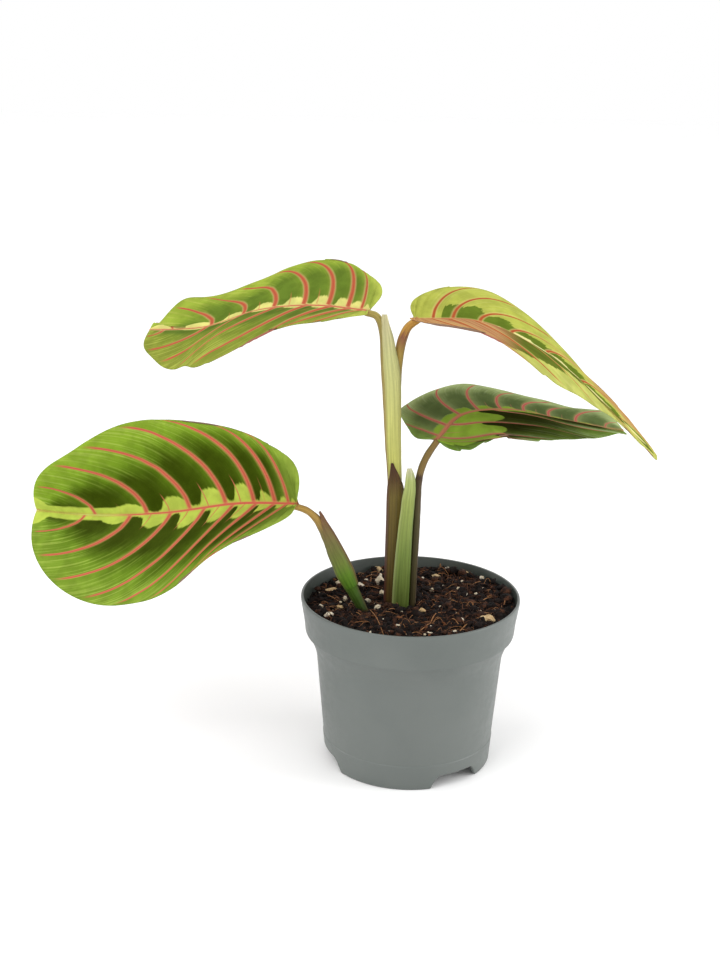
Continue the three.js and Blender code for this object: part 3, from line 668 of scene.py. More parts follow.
def dark_blotches(sh, blade, look, band_edge):
    """The dark blotches between the side veins, from the pale band outwards."""
    half_soft = look["dark_soft"] * 0.5
    dark_end = sh.choose(blade.front, *look["dark_end"])
    ragged = (blade.soft - 0.5) * 0.25 + (blade.streaks - 0.5) * 0.12
    blotch = sh.curve(blade.f, BLOTCH) * sh.fade(blade.w, band_edge - 0.03, band_edge + 0.02)
    blotch = blotch * sh.fade(blade.w + ragged, dark_end + half_soft, dark_end - half_soft)
    blotch = blotch * sh.fade(blade.s, 1.0, 0.96)
    blotch = blotch * sh.fade(blade.along, 0.0, blade.length * 0.1, 0.35, 1.0)
    blotch = blotch * sh.fade(blade.phase, look["dark_from"], look["dark_from"] + 0.3)
    crisp = look["dark_soft"] < 0.1
    return sh.fade(blotch, 0.35, 0.6) if crisp else blotch


def draw_flush(sh, blade, look, color):
    """Pink by the stalk on the front half and along the outer edge of the back half."""
    pink = sh.mix(sh.fade(blade.streaks, 0.4, 0.6), FLUSH_DEEP, FLUSH_PALE)
    near_stalk = blade.front * sh.fade(blade.along, blade.length * 0.36, blade.length * 0.24)
    far_edge = (1.0 - blade.front) * sh.fade(blade.s, 0.58, 0.72) * sh.fade(blade.w, 0.3, 0.7)
    return sh.mix((near_stalk + far_edge * 0.85) * look["flush"], color, pink)


def blade_face(name):
    look = PLAIN_LOOK | BLADE_LOOKS[name]
    sh = Shader(name + "_face", 0.6, 0.0)
    blade = read_blade(sh, name)
    mid, margin, dark = (sh.mix(blade.front, *look[key]) for key in ("mid", "margin", "dark"))
    band_edge, band = pale_band(sh, blade, look)
    color = sh.mix(sh.fade(blade.w, 0.45, 1.0), mid, margin)
    lines = sh.fade(blade.streaks, 0.5, 0.68) * sh.fade(blade.w, 0.2, 0.75, 0.15, 0.6)
    color = sh.mix(lines, color, look["line"])
    by_stalk = sh.fade(blade.along, blade.length * 0.1, 0.0, 0.0, 0.75)
    color = sh.mix(by_stalk, color, look["base_tint"])
    color = sh.mix(dark_blotches(sh, blade, look, band_edge) * 0.96, color, dark)
    color = sh.mix(band, color, look["band_color"])
    color = sh.shade(color, sh.fade(blade.cloud, 0.3, 0.7, 0.88, 1.1))
    if look["flush"]:
        color = draw_flush(sh, blade, look, color)
    color = draw_veins(sh, blade, look, color)
    color = draw_midrib(sh, blade, look, color)
    sh.bump(blade.streaks + blade.cloud * 0.5, 0.25, 0.0004)
    return sh.finish(color, sh.fade(blade.cloud, 0.3, 0.7, 0.55, 0.68))


def blade_back(name):
    """The underside: dusky red with raised pale veins."""
    sh = Shader(name + "_back", 0.55, 0.35)
    phase, w = sh.uv("veins")
    pitch = sh.uv("span")[0]
    f = sh.math("FRACT", phase)
    from_vein = sh.least(f, 1.0 - f) * pitch * UV_UNIT
    vein = sh.fade(from_vein, 1.0, 0.4) * sh.fade(w, 1.0, 0.7)
    streaks = vein_streaks(sh, phase, w)
    color = sh.mix(sh.fade(streaks, 0.35, 0.7), (122, 92, 76), (140, 116, 86))
    color = sh.mix(sh.fade(w, 0.3, 0.0), color, (150, 142, 84))
    color = sh.mix(vein, color, (168, 96, 78))
    sh.bump(streaks + vein * 1.5, 0.3, 0.0004)
    return sh.finish(color)


def midrib_reader(leaf):
    """The midrib by distance from the stalk, also a little beyond either end."""
    t = np.linspace(0, 1, 801)
    line = smooth(leaf["midrib"], t)
    steps = np.linalg.norm(np.diff(line, axis=0), axis=1)
    reached = np.concatenate([[0], np.cumsum(steps)])
    length = reached[-1]

    def read(along):
        u = np.clip(along / length, 0, 1)
        at = np.interp(u * length, reached, t)
        tangent = direction(leaf["midrib"], at, 0.002)
        point = smooth(leaf["midrib"], at) + tangent * (along - u * length)[..., None]
        up = unit(np.array([0, 0, 1.0]) - tangent * tangent[..., 2:3])
        left = np.cross(up, tangent)
        return u, point, up, left

    return length, read


def margin_swell(leaf, is_front, s):
    """How much wider than its plain outline a half is at a place along its edge, as a factor."""
    swell = np.ones_like(s)
    for half, at, spread, share in leaf["margin"]:
        if (half == "front") == is_front:
            swell = swell * (1 + share * np.exp(-(((s - at) / spread) ** 2)))
    return swell


def flat_point(leaf, length, s, w, is_front):
    """Where a side vein's point lies on the blade laid flat: along the midrib, and out from it."""
    power = leaf["start_power"][1 if is_front else 0]
    start = length * np.maximum((s - VEIN_START) / (1 - VEIN_START), 0) ** power
    lobe = leaf["lobe"] * (s / 0.05) * np.exp(1 - s / 0.05)
    margin_along = length * ((1 - np.cos(np.pi * s)) / 2 - lobe)
    blunt = leaf["base_blunt"] + (leaf["tip_blunt"] - leaf["base_blunt"]) * s
    plain_out = leaf["half_width"] * np.maximum(np.sin(np.pi * s), 0) ** blunt
    margin_out = plain_out * margin_swell(leaf, is_front, s)
    turn = w * VEIN_SWEEP
    along = start + (margin_along - start) * (1 - np.cos(turn)) / (1 - math.cos(VEIN_SWEEP))
    return along, margin_out * np.sin(turn) / math.sin(VEIN_SWEEP)


def blade_surface(leaf, read, length, s, w, side):
    is_front = side == leaf["front"]
    along, out = flat_point(leaf, length, s, w, is_front)
    u, point, up, left = read(along)
    roll = smooth(leaf["roll"], u)
    lift = np.radians(smooth(leaf["fold"], u) + (-roll if is_front else roll))
    bend = math.radians(leaf["curl_front" if is_front else "curl_back"]) / leaf["half_width"]
    sideways = (np.sin(lift + bend * out) - np.sin(lift)) / bend
    upwards = (np.cos(lift) - np.cos(lift + bend * out)) / bend
    return point + left * (side * sideways)[..., None] + up * upwards[..., None], along, out


def vein_phase(veins, s):
    """Counts side veins along s: a whole number on each, FIRST_VEIN on the first that shows."""
    first, step = veins
    return (s - first) / step + FIRST_VEIN


def vein_pitch(points, phase):
    """Millimetres from one side vein to the next, measured square to them."""
    ds = np.gradient(points, axis=0)
    dw = unit(np.gradient(points, axis=1))
    across = np.linalg.norm(ds - dw * np.sum(ds * dw, axis=-1, keepdims=True), axis=-1)
    return across / np.maximum(np.abs(np.gradient(phase, axis=0)), 1e-6)


def blade_relief(leaf, phase, pitch, s, w):
    """Swollen between side veins, grooved along them, waved and rippled at the margin."""
    from_vein = np.abs((phase + 0.5) % 1 - 0.5)
    quilt = QUILT_HEIGHT * np.sin(np.pi * from_vein) * np.sin(np.pi * np.minimum(1, w * 1.1))
    inside = np.minimum(1, 6 * w * (1 - w) + 0.1)
    groove = -VEIN_GROOVE * np.exp(-((from_vein * pitch / GROOVE_REACH) ** 2)) * inside
    wave = leaf["wave"] * w**3 * np.sin(2 * np.pi * (leaf["waves"] * s + leaf["wave_phase"]))
    ripple = RIPPLE_HEIGHT * w**4 * np.sin(2 * np.pi * (RIPPLES * s + leaf["wave_phase"]))
    return np.where(w > 0, quilt + groove + wave + ripple * np.sin(np.pi * s), 0)


def shared_spine(skin, middle, rows):
    """Adds the midrib's points, which both halves share, and says how far it stands out at each.
    Side veins near the stalk all leave from its end, and the last row is the tip itself."""
    skin.add_points([middle[0], middle[-1]])
    numbers = np.zeros(len(rows), int)
    numbers[-1] = 1
    ribs = [MIDRIB_DEPTH, 0]
    for i in range(1, len(rows) - 1):
        if np.linalg.norm(middle[i] - middle[0]) > SPINE_GAP:
            numbers[i] = skin.add_points([middle[i]])
            ribs.append(MIDRIB_DEPTH * (1 - rows[i]) ** 1.5)
    return numbers, ribs


def make_blade(name):
    leaf = LEAVES[name]
    length, read = midrib_reader(leaf)
    t = np.linspace(0, 1, BLADE_ROWS + 1)
    rows = 0.6 * t + 0.4 * (1 - np.cos(np.pi * t)) / 2
    columns = np.linspace(0, 1, BLADE_COLUMNS + 1) ** 1.1
    s, w = np.meshgrid(rows, columns, indexing="ij")
    inner = (slice(1, -1), slice(1, None))
    skin = Skin()
    for side in (1, -1):
        is_front = side == leaf["front"]
        points, along, out = blade_surface(leaf, read, length, s, w, side)
        phase = vein_phase(leaf["veins_front" if is_front else "veins_back"], s)
        pitch = vein_pitch(points, phase)
        height = blade_relief(leaf, phase, pitch, s, w)
        rib = MIDRIB_DEPTH * 0.5 * (1 - s) ** 1.5 * np.exp(-((out / MIDRIB_SPREAD) ** 2))
        if side == 1:
            spine, ribs = shared_spine(skin, points[:, 0], rows)
            heights = [0] * len(ribs)
        numbers = np.zeros(s.shape, int)
        numbers[:, 0] = spine
        numbers[-1, :] = 1
        block = np.arange(s[inner].size).reshape(s[inner].shape)
        numbers[inner] = block + skin.add_points(points[inner])
        heights.extend(height[inner].ravel())
        ribs.extend(rib[inner].ravel())
        signed_out = np.maximum(out, 1e-3) * (1 if is_front else -1)
        first = skin.add_corners(
            numbers.ravel().tolist(),
            veins=pairs(phase, w),
            lay=pairs(along / UV_UNIT, signed_out / UV_UNIT),
            span=pairs(pitch / UV_UNIT, s),
        )
        skin.grid(first, BLADE_ROWS + 1, BLADE_COLUMNS + 1, flip=side < 0)
    skin.points = list(np.array(skin.points) + skin.normals() * np.array(heights)[:, None])
    half = BLADE_THICKNESS / 2
    skin.thicken(np.full(len(skin.points), half), half + np.array(ribs), 1)
    skin.build(name + "_blade", [blade_face(name), blade_back(name)], [name])


# Stalks and sheaths.

STALK_RINGS = 120
STALK_SIDES = 32
STALK_RIDGES = 9
STALK_RIDGE = 0.05
SHEATH_RINGS = 110
SHEATH_COLUMNS = 40
SHEATH_RIDGES = 11
SHEATH_RIDGE = 0.024
STALK_ROUGHNESS = 0.45
# Colours by height, from the foot at 0 to the top at 1, then the tints at the left and the right,
# and how strong those are.
STALK_COLORS = {
    "stalk_lower_left": (
        [(0.0, (48, 52, 22)), (0.22, (54, 72, 26)), (0.34, (70, 100, 30)), (0.42, (90, 126, 34)),
         (0.5, (104, 132, 54)), (0.6, (118, 122, 62)), (0.75, (132, 116, 66)),
         (0.84, (176, 142, 74)), (1.0, (184, 148, 70))],
        (112, 108, 66), (96, 72, 44), 0.45,
    ),
    "sheath_lower_left": (
        [(0.0, (80, 120, 30)), (0.18, (94, 128, 34)), (0.32, (108, 124, 50)),
         (0.6, (118, 112, 62)), (0.85, (130, 102, 66)), (1.0, (128, 84, 62))],
        (112, 108, 60), (112, 58, 42), 0.75,
    ),
    "stalk_upper_left": (
        [(0.0, (80, 56, 36)), (0.4, (120, 90, 50)), (0.6, (176, 160, 96)), (0.9, (166, 152, 84)),
         (1.0, (170, 150, 76))],
        (136, 108, 72), (170, 160, 90), 0.7,
    ),
    "sheath_pale": (
        [(0.0, (150, 150, 60)), (0.2, (184, 184, 88)), (0.5, (204, 204, 118)),
         (0.8, (208, 208, 140)), (1.0, (214, 206, 160))],
        (176, 158, 100), (182, 176, 104), 0.55,
    ),
    "stalk_upper_right": (
        [(0.0, (60, 50, 30)), (0.5, (150, 140, 70)), (0.8, (176, 160, 84)), (0.88, (180, 150, 72)),
         (0.925, (150, 96, 70)), (0.95, (196, 146, 66)), (1.0, (198, 146, 64))],
        (190, 160, 90), (176, 150, 96), 0.5,
    ),
    "stalk_lower_right": (
        [(0.0, (60, 50, 30)), (0.6, (84, 78, 44)), (0.78, (90, 74, 50)), (0.8, (70, 50, 40)),
         (0.82, (134, 110, 62)), (1.0, (146, 120, 66))],
        (74, 72, 30), (100, 84, 68), 0.7,
    ),
    "sheath_green": (
        [(0.0, (60, 70, 26)), (0.2, (82, 96, 38)), (0.5, (120, 140, 64)), (0.8, (154, 168, 88)),
         (0.93, (180, 192, 116)), (1.0, (216, 214, 176))],
        (186, 196, 128), (96, 122, 48), 0.5,
    ),
    "sheath_brown": (
        [(0.0, (60, 40, 22)), (0.4, (96, 80, 32)), (0.8, (112, 96, 42)), (0.9, (96, 72, 40)),
         (1.0, (80, 46, 36))],
        (84, 40, 38), (88, 66, 36), 0.9,
    ),
}


def stalk_skin(name):
    """Colour by height with its own tints at the left and right, and lengthwise fibres."""
    stops, left, right, strength = STALK_COLORS[name]
    sh = Shader(name + "_skin", STALK_ROUGHNESS, 0.2)
    u, v = sh.uv("skin")
    fibres = sh.flat_noise(u * 26, v * 2.5, 1.0, 3.0, 0.6)
    specks = sh.noise(sh.place(), 900.0, 2.0, 0.6)
    color = sh.ramp(v + (fibres - 0.5) * 0.05, stops)
    on_left = sh.fade(u, 0.42, 0.28) * sh.fade(u, 0.0, 0.15) * strength
    on_right = sh.fade(u, 0.6, 0.74) * sh.fade(u, 1.0, 0.85) * strength
    color = sh.mix(on_right, sh.mix(on_left, color, left), right)
    color = sh.shade(color, sh.fade(fibres, 0.3, 0.7, 0.84, 1.12) + (specks - 0.5) * 0.12)
    sh.bump(fibres, 0.35, 0.0003)
    smoothest, roughest = STALK_ROUGHNESS - 0.06, STALK_ROUGHNESS + 0.1
    return sh.finish(color, sh.fade(fibres, 0.3, 0.7, smoothest, roughest))


def stalk_path(rows, rings):
    """A reader of points round the stalk, its row values and how far up each ring is."""
    values = np.array(rows, float)
    t = np.linspace(0, 1, rings)
    path = smooth(values[:, :3], t)
    tangent = direction(values[:, :3], t, 0.003)
    depth = unit(np.array([0, 1.0, 0]) - tangent * tangent[:, 1:2])
    width = np.cross(depth, tangent)
    sizes = smooth(values[:, 3:], t)
    steps = np.linalg.norm(np.diff(path, axis=0), axis=1)
    travelled = np.concatenate([[0], np.cumsum(steps)])

    def around(angle, swell):
        offset = width[:, None] * (sizes[:, 0:1] * np.cos(angle) * swell)[..., None]
        offset = offset + depth[:, None] * (sizes[:, 1:2] * np.sin(angle) * swell)[..., None]
        return path[:, None] + offset

    return path, around, sizes, travelled / travelled[-1]


def make_stalk(name, rows, node):
    """A closed stalk with shallow lengthwise ridges. Its UV seam runs down the back."""
    path, around, _, v = stalk_path(rows, STALK_RINGS)
    u = np.linspace(0, 1, STALK_SIDES + 1)
    angle = np.radians(90) + u * 2 * np.pi
    ridges = STALK_RIDGE * np.cos(STALK_RIDGES * angle)
    knots = 0.02 * np.sin(v * 90)[:, None]
    skin = Skin()
    skin.add_points(around(angle, 1 + ridges + knots)[:, :-1])
    numbers = np.arange(STALK_RINGS * STALK_SIDES).reshape(STALK_RINGS, STALK_SIDES)
    numbers = np.concatenate([numbers, numbers[:, :1]], axis=1)
    first = skin.add_corners(numbers.ravel().tolist(), skin=pairs(u[None], v[:, None]))
    skin.grid(first, STALK_RINGS, STALK_SIDES + 1, flip=True)
    for row, centre in ((0, path[0]), (STALK_RINGS - 1, path[-1])):
        corner = skin.add_corners([skin.add_points([centre])], skin=[(0.5, v[row])])
        for k in range(STALK_SIDES):
            a = first + row * (STALK_SIDES + 1) + k
            skin.face([corner, a + 1, a] if row == 0 else [corner, a, a + 1])
    skin.build(name, [stalk_skin(node)], [node])


def make_sheath(name, rows, wall, look, replaces=()):
    """An open wall round a stalk, thin at its free edges."""
    _, around, sizes, v = stalk_path(rows, SHEATH_RINGS)
    across = np.linspace(0, 1, SHEATH_COLUMNS + 1)
    start, end = np.radians(sizes[:, 2:3]), np.radians(sizes[:, 3:4])
    angle = start + (end - start) * across
    swell = 1 + SHEATH_RIDGE * np.cos(SHEATH_RIDGES * 2 * np.pi * across)
    skin = Skin()
    skin.add_points(around(angle, swell))
    uv = pairs((angle - np.radians(90)) / (2 * np.pi), v[:, None])
    first = skin.add_corners(range(len(uv)), skin=uv)
    skin.grid(first, SHEATH_RINGS, SHEATH_COLUMNS + 1, flip=True)
    edge = np.minimum(1, 0.35 + 6 * across * (1 - across) * 1.2)
    half = np.broadcast_to(wall / 2 * edge, angle.shape).ravel()
    skin.thicken(half, half, 0)
    skin.build(name, [stalk_skin(look)], replaces)


def make_stalks():
    make_stalk("stalk_lower_left_skin", STALK_LOWER_LEFT, "stalk_lower_left")
    make_sheath("sheath_lower_left", SHEATH_LOWER_LEFT, 0.45, "sheath_lower_left")
    make_stalk("stalk_upper_left_rib", STALK_UPPER_LEFT, "stalk_upper_left")
    make_sheath("sheath_pale", SHEATH_PALE, 0.5, "sheath_pale")
    make_stalk("stalk_upper_right_skin", STALK_UPPER_RIGHT, "stalk_upper_right")
    make_stalk("stalk_lower_right_skin", STALK_LOWER_RIGHT, "stalk_lower_right")
    make_sheath("sheath_green", SHEATH_GREEN, 0.6, "sheath_green", ["sheath_lower_right"])
    make_sheath("sheath_brown_skin", SHEATH_BROWN, 0.6, "sheath_brown", ["sheath_brown"])


# Pot.


def rounded_outline(outline):
    """The outline with each corner replaced by a small arc."""
    points = [np.array(p[:2], float) for p in outline]
    result = [points[0]]
    for k in range(1, len(points) - 1):
        before, here, after = points[k - 1], points[k], points[k + 1]
        to_before, to_after = before - here, after - here
        room = 0.45 * min(np.linalg.norm(to_before), np.linalg.norm(to_after))
        reach = min(outline[k][2], room)
        a = here + to_before / np.linalg.norm(to_before) * reach
        b = here + to_after / np.linalg.norm(to_after) * reach
        for i in range(CORNER_STEPS + 1):
            t = i / CORNER_STEPS
            result.append(a * (1 - t) ** 2 + here * 2 * t * (1 - t) + b * t**2)
    result.append(points[-1])
    return result


def notch_rise(angle):
    """Height of the foot's edge over the floor, at an angle from the front towards +X."""
    rise = 0.0
    for centre, half_angle in NOTCHES:
        off = abs((angle - centre + 180) % 360 - 180) / half_angle
        t = min(max((1 - off) / 0.36, 0), 1)
        rise = max(rise, NOTCH_HEIGHT * math.sin(t * math.pi / 2) ** 0.9)
    return rise


def pot_plastic(name, deep, pale):
    sh = Shader(name, 0.42, 0.6)
    at = sh.place()
    grain = sh.noise(at, 1600.0, 3.0, 0.6)
    drift = sh.noise(at, 22.0, 2.0, 0.5)
    scuff = sh.noise(at, 260.0, 4.0, 0.75)
    color = sh.mix(sh.fade(drift, 0.3, 0.7), deep, pale)
    color = sh.mix(sh.fade(scuff, 0.68, 0.8, 0.0, 0.35), color, (150, 156, 150))
    color = sh.mix(sh.fade(scuff, 0.3, 0.22, 0.0, 0.3), color, (90, 96, 92))
    sh.bump(grain, 0.12, 0.0002)
    return sh.finish(color, sh.fade(scuff, 0.3, 0.7, 0.38, 0.5))


def outline_rows(outline):
    """The outline's places, radius and height, with long stretches cut up."""
    rows = []
    for (r0, z0), (r1, z1) in zip(outline, outline[1:]):
        pieces = max(1, int(math.hypot(r1 - r0, z1 - z0) / POT_STEP))
        for k in range(pieces):
            rows.append((r0 + (r1 - r0) * k / pieces, z0 + (z1 - z0) * k / pieces))
    return rows + [tuple(outline[-1])]


def pot_ring(radius, z):
    """Points round the pot, lifted where a notch opens the foot ring."""
    points = []
    for k in range(POT_SEGMENTS):
        degrees = k * 360 / POT_SEGMENTS
        angle = math.radians(degrees)
        in_foot = z < FLOOR_UNDERSIDE and radius > FOOT_INSIDE
        rise = notch_rise(degrees) * (1 - z / FLOOR_UNDERSIDE) if in_foot else 0
        reach = radius + rise * BODY_SLOPE
        points.append((reach * math.sin(angle), -reach * math.cos(angle), z + rise))
    return points


def make_pot():
    rows = outline_rows(rounded_outline(POT_OUTLINE))
    columns = POT_SEGMENTS + 1
    skin = Skin()
    numbers = []
    for radius, z in rows:
        if radius < 1e-6:
            numbers += [skin.add_points([(0, 0, z)])] * columns
            continue
        first = skin.add_points(pot_ring(radius, z))
        numbers += [*range(first, first + POT_SEGMENTS), first]
    skin.add_corners(numbers, skin=[(0, 0)] * len(numbers))
    rim = max(i for i, (_, z) in enumerate(rows) if z > POT_HEIGHT - 0.1)
    skin.grid(0, rim + 1, columns, flip=True)
    skin.grid(rim * columns, len(rows) - rim, columns, flip=True, material=1)
    outside = pot_plastic("pot_plastic", (98, 105, 101), (108, 114, 110))
    # The inside is the same plastic painted darker: painted shade inside the pot's wall.
    inside = pot_plastic("pot_inside_painted_shade", (66, 74, 68), (94, 102, 96))
    cut_drains(skin.build("pot_shell", [outside, inside], ["pot"]))


def cut_drains(pot):
    """Opens the drainage holes in the floor."""
    points, faces = [], []
    sides = range(DRAIN_SIDES)
    for k in range(DRAIN_COUNT):
        angle = math.radians(360 / DRAIN_COUNT * k)
        x, y = DRAIN_CIRCLE * math.sin(angle), -DRAIN_CIRCLE * math.cos(angle)
        low = len(points)
        high = low + DRAIN_SIDES
        for z in (FLOOR_UNDERSIDE - 2, FLOOR_TOP + 2):
            for i in sides:
                turn = 2 * math.pi * i / DRAIN_SIDES
                across, back = DRAIN_RADIUS * math.cos(turn), DRAIN_RADIUS * math.sin(turn)
                points.append((x + across, y + back, z))
        faces.append([low + i for i in reversed(sides)])
        faces.append([high + i for i in sides])
        for i in sides:
            j = (i + 1) % DRAIN_SIDES
            faces.append([low + i, low + j, high + j, high + i])
    cutter = bpy.data.meshes.new("drain_cutter")
    cutter.from_pydata(place(points), [], faces)
    tool = bpy.data.objects.new("drain_cutter", cutter)
    bpy.context.scene.collection.objects.link(tool)
    modifier = pot.modifiers.new("drains", "BOOLEAN")
    modifier.object = tool
    modifier.operation = "DIFFERENCE"
    modifier.solver = "EXACT"
    view = bpy.context.evaluated_depsgraph_get()
    cut = bpy.data.meshes.new_from_object(pot.evaluated_get(view))
    pot.modifiers.clear()
    pot.data = cut
    bpy.data.objects.remove(tool)
    cut.set_sharp_from_angle(angle=math.radians(50))


# Potting mix.


def mix_height(x, y):
    r = math.hypot(x, y)
    slope = (-MIX_RISE_FRONT * y + MIX_RISE_RIGHT * x) / 40
    hump = 0.5 * math.sin(x * 0.11 + 1.3) * math.cos(y * 0.13 + 0.4)
    edge_dip = -1.2 * max(0, min(1, (r - 36) / 6)) * max(0, min(1, (-x + 10) / 30))
    return MIX_LEVEL + slope + hump + edge_dip


def rough_height(x, y):
    """The mix with its clods and crumbs."""
    at = Vector((x, y, 0))
    clods = noise.fractal(at * 0.16, 1.0, 2.0, 3) * 1.3
    crumbs = noise.fractal(at * 0.6 + Vector((40, 0, 0)), 0.8, 2.1, 4) * 0.9
    pits = -3.4 * max(0, noise.noise(at * 0.3 + Vector((0, 70, 0))) - 0.08)
    return mix_height(x, y) + clods + crumbs + pits


def camera_axes():
    """The camera's right, up and ahead, looking down by its pitch and leaning by its roll."""
    pitch, roll = math.radians(CAMERA_PITCH), math.radians(CAMERA_ROLL)
    ahead = np.array([0, math.cos(pitch), -math.sin(pitch)])
    level = np.array([1.0, 0, 0])
    rise = np.array([0, math.sin(pitch), math.cos(pitch)])
    right = math.cos(roll) * level + math.sin(roll) * rise
    up = math.cos(roll) * rise - math.sin(roll) * level
    return right, up, ahead


def on_mix(px, py):
    """The point of the mix that shows at a pixel of the photograph, clear of the pot's wall."""
    right, up, ahead = camera_axes()
    across, down = ((p - c) / PIXELS_PER_TANGENT for p, c in zip((px, py), PHOTO_CENTRE))
    ray = ahead + right * across - up * down
    level = MIX_LEVEL
    for _ in range(4):
        hit = np.array(CAMERA_PLACE) + ray * (level - CAMERA_PLACE[2]) / ray[2]
        level = mix_height(hit[0], hit[1])
    inwards = min(1, MARKED_REACH / math.hypot(hit[0], hit[1]))
    x, y = hit[0] * inwards, hit[1] * inwards
    return x, y, mix_height(x, y)


def peat(name, dark, light, roughness=0.9):
    sh = Shader(name, roughness, 0.25)
    at = sh.place()
    coarse = sh.noise(at, 420.0, 3.0, 0.6)
    fine = sh.noise(at, 2600.0, 3.0, 0.65)
    color = sh.mix(sh.fade(coarse * 0.6 + fine * 0.4, 0.4, 0.66), dark, light)
    sh.bump(fine, 0.6, 0.0004)
    return sh.finish(color)


def lump_template(detail):
    """Points and faces of a small round body."""
    ball = bmesh.new()
    bmesh.ops.create_icosphere(ball, subdivisions=detail, radius=1)
    points = np.array([v.co for v in ball.verts])
    faces = [[v.index for v in f.verts] for f in ball.faces]
    ball.free()
    return points, faces


def scatter(name, lumps, detail, materials, crooked):
    """One piece made of many small lumps: (centre, half sizes, turn, material number)."""
    template, faces = lump_template(detail)
    skin = Skin()
    for number, (centre, sizes, turn, material) in enumerate(lumps):
        own = Vector((number * 3.7, 0, 0))
        bend = 1 + crooked * np.array([noise.noise(Vector(p * 1.3) + own) for p in template])
        shaped = template * bend[:, None] * np.array(sizes)
        rotation = np.array(Matrix.Rotation(turn[0], 3, "Z") @ Matrix.Rotation(turn[1], 3, "X"))
        first = skin.add_points(shaped @ rotation.T + np.array(centre))
        numbers = range(first, first + len(template))
        base = skin.add_corners(numbers, skin=[(0, 0)] * len(template))
        for f in faces:
            skin.face([base + i for i in f], material)
    skin.build(name, materials)


def add_fibre(skin, start, heading, length, radius, curve, lift, material, steps=7):
    """A bent thread lying on the mix, with its middle raised by lift."""
    points = []
    x, y = start
    for k in range(steps + 1):
        t = k / steps
        points.append((x, y, mix_height(x, y) + 0.5 + lift * math.sin(math.pi * min(1, t * 1.15))))
        x += length / steps * math.cos(heading + curve * t)
        y += length / steps * math.sin(heading + curve * t)
    rings = []
    for k, p in enumerate(points):
        a, b = np.array(points[max(k - 1, 0)]), np.array(points[min(k + 1, steps)])
        tangent = unit(b - a)
        side = unit(np.cross(tangent, (0, 0, 1.0)))
        up = np.cross(side, tangent)
        thin = radius * (1 - 0.5 * k / steps)
        corners = [side * math.cos(q) + up * math.sin(q) for q in (0, 1.57, 3.14, 4.71)]
        rings.append(skin.add_points([np.array(p) + thin * corner for corner in corners]))
    numbers = [r + i for r in rings for i in range(4)]
    first = skin.add_corners(numbers, skin=[(0, 0)] * len(numbers))
    for k in range(steps):
        for i in range(4):
            a, b = first + 4 * k + i, first + 4 * k + (i + 1) % 4
            skin.face([a, a + 4, b + 4, b], material)
    skin.face([first, first + 1, first + 2, first + 3], material)
    last = first + 4 * steps
    skin.face([last + 3, last + 2, last + 1, last], material)


# Bits that can be told apart in the photograph: pixel, size across and high in millimetres.
PERLITE_BITS = [
    ((338, 584), 1.5, 0.8), ((380, 584), 1.9, 2.0), ((382, 595), 1.4, 1.2), ((360, 588), 1.4, 1.3),
    ((329, 616), 1.6, 1.0), ((321, 607), 1.1, 0.6), ((345, 600), 1.0, 0.9), ((454, 566), 1.8, 0.9),
    ((432, 592), 1.1, 0.9), ((458, 591), 0.9, 0.9), ((466, 595), 0.8, 0.7), ((494, 608), 1.2, 0.9),
    ((480, 613), 0.9, 0.6), ((378, 609), 1.3, 1.1), ((368, 602), 1.1, 0.9), ((441, 607), 1.0, 0.6),
    ((332, 578), 0.9, 0.9), ((476, 595), 0.7, 0.6), ((462, 621), 0.8, 0.8), ((360, 621), 0.9, 0.8),
    ((486, 578), 1.0, 0.8), ((366, 581), 0.8, 0.6), ((434, 614), 0.7, 0.6), ((398, 627), 0.8, 0.7),
]
WOOD_CHIPS = [
    ((332, 592), 2.6, 0.7), ((375, 569), 2.0, 1.5), ((488, 621), 2.8, 1.7), ((436, 578), 1.7, 0.9),
    ((340, 609), 1.6, 0.7), ((422, 612), 1.5, 0.7), ((470, 573), 1.5, 0.8),
]
# Clods that stand out at the right of the rim and in the heap at the back: pixel, half size.
RIM_CLODS = [
    ((513, 595), 2.3), ((508, 602), 1.9), ((506, 590), 1.8), ((455, 575), 2.4), ((462, 577), 2.0),
    ((448, 574), 1.8), ((374, 572), 1.7), ((316, 592), 1.5), ((500, 583), 1.6),
]
LONG_FIBRES = [
    ((370, 611), (386, 636), 0.9), ((431, 623), (440, 612), 1.6), ((452, 620), (458, 629), 1.2),
    ((504, 606), (512, 596), 1.2), ((420, 632), (436, 624), 0.8), ((392, 604), (399, 613), 2.0),
    ((352, 614), (364, 619), 1.0), ((372, 564), (382, 562), 1.5), ((441, 570), (447, 562), 2.5),
    ((480, 604), (494, 597), 0.9), ((325, 596), (337, 604), 0.8), ((460, 632), (474, 622), 0.7),
]


def ring_places(radius):
    turns = [2 * math.pi * k / MIX_SEGMENTS for k in range(MIX_SEGMENTS)]
    return [(radius * math.cos(a), radius * math.sin(a)) for a in turns]


def make_ground():
    """The mix itself, rough on top, with its side along the pot's wall down to the floor."""
    rings = []
    for i in range(1, MIX_RINGS + 1):
        places = ring_places(MIX_RADIUS * i / MIX_RINGS)
        rings.append([(x, y, rough_height(x, y)) for x, y in places])
    for radius, z in MIX_SIDE:
        rings.append([(x, y, z) for x, y in ring_places(radius)])
    columns = MIX_SEGMENTS + 1
    skin = Skin()
    numbers = [skin.add_points([(0, 0, rough_height(0, 0))])] * columns
    for ring in rings:
        first = skin.add_points(ring)
        numbers += [*range(first, first + MIX_SEGMENTS), first]
    numbers += [skin.add_points([(0, 0, MIX_SIDE[-1][1])])] * columns
    skin.add_corners(numbers, skin=[(0, 0)] * len(numbers))
    skin.grid(0, len(rings) + 2, columns)
    ground = peat("peat_ground", (6, 4, 3), (34, 20, 14))
    skin.build("peat_mix", [ground], ["potting_mix"])


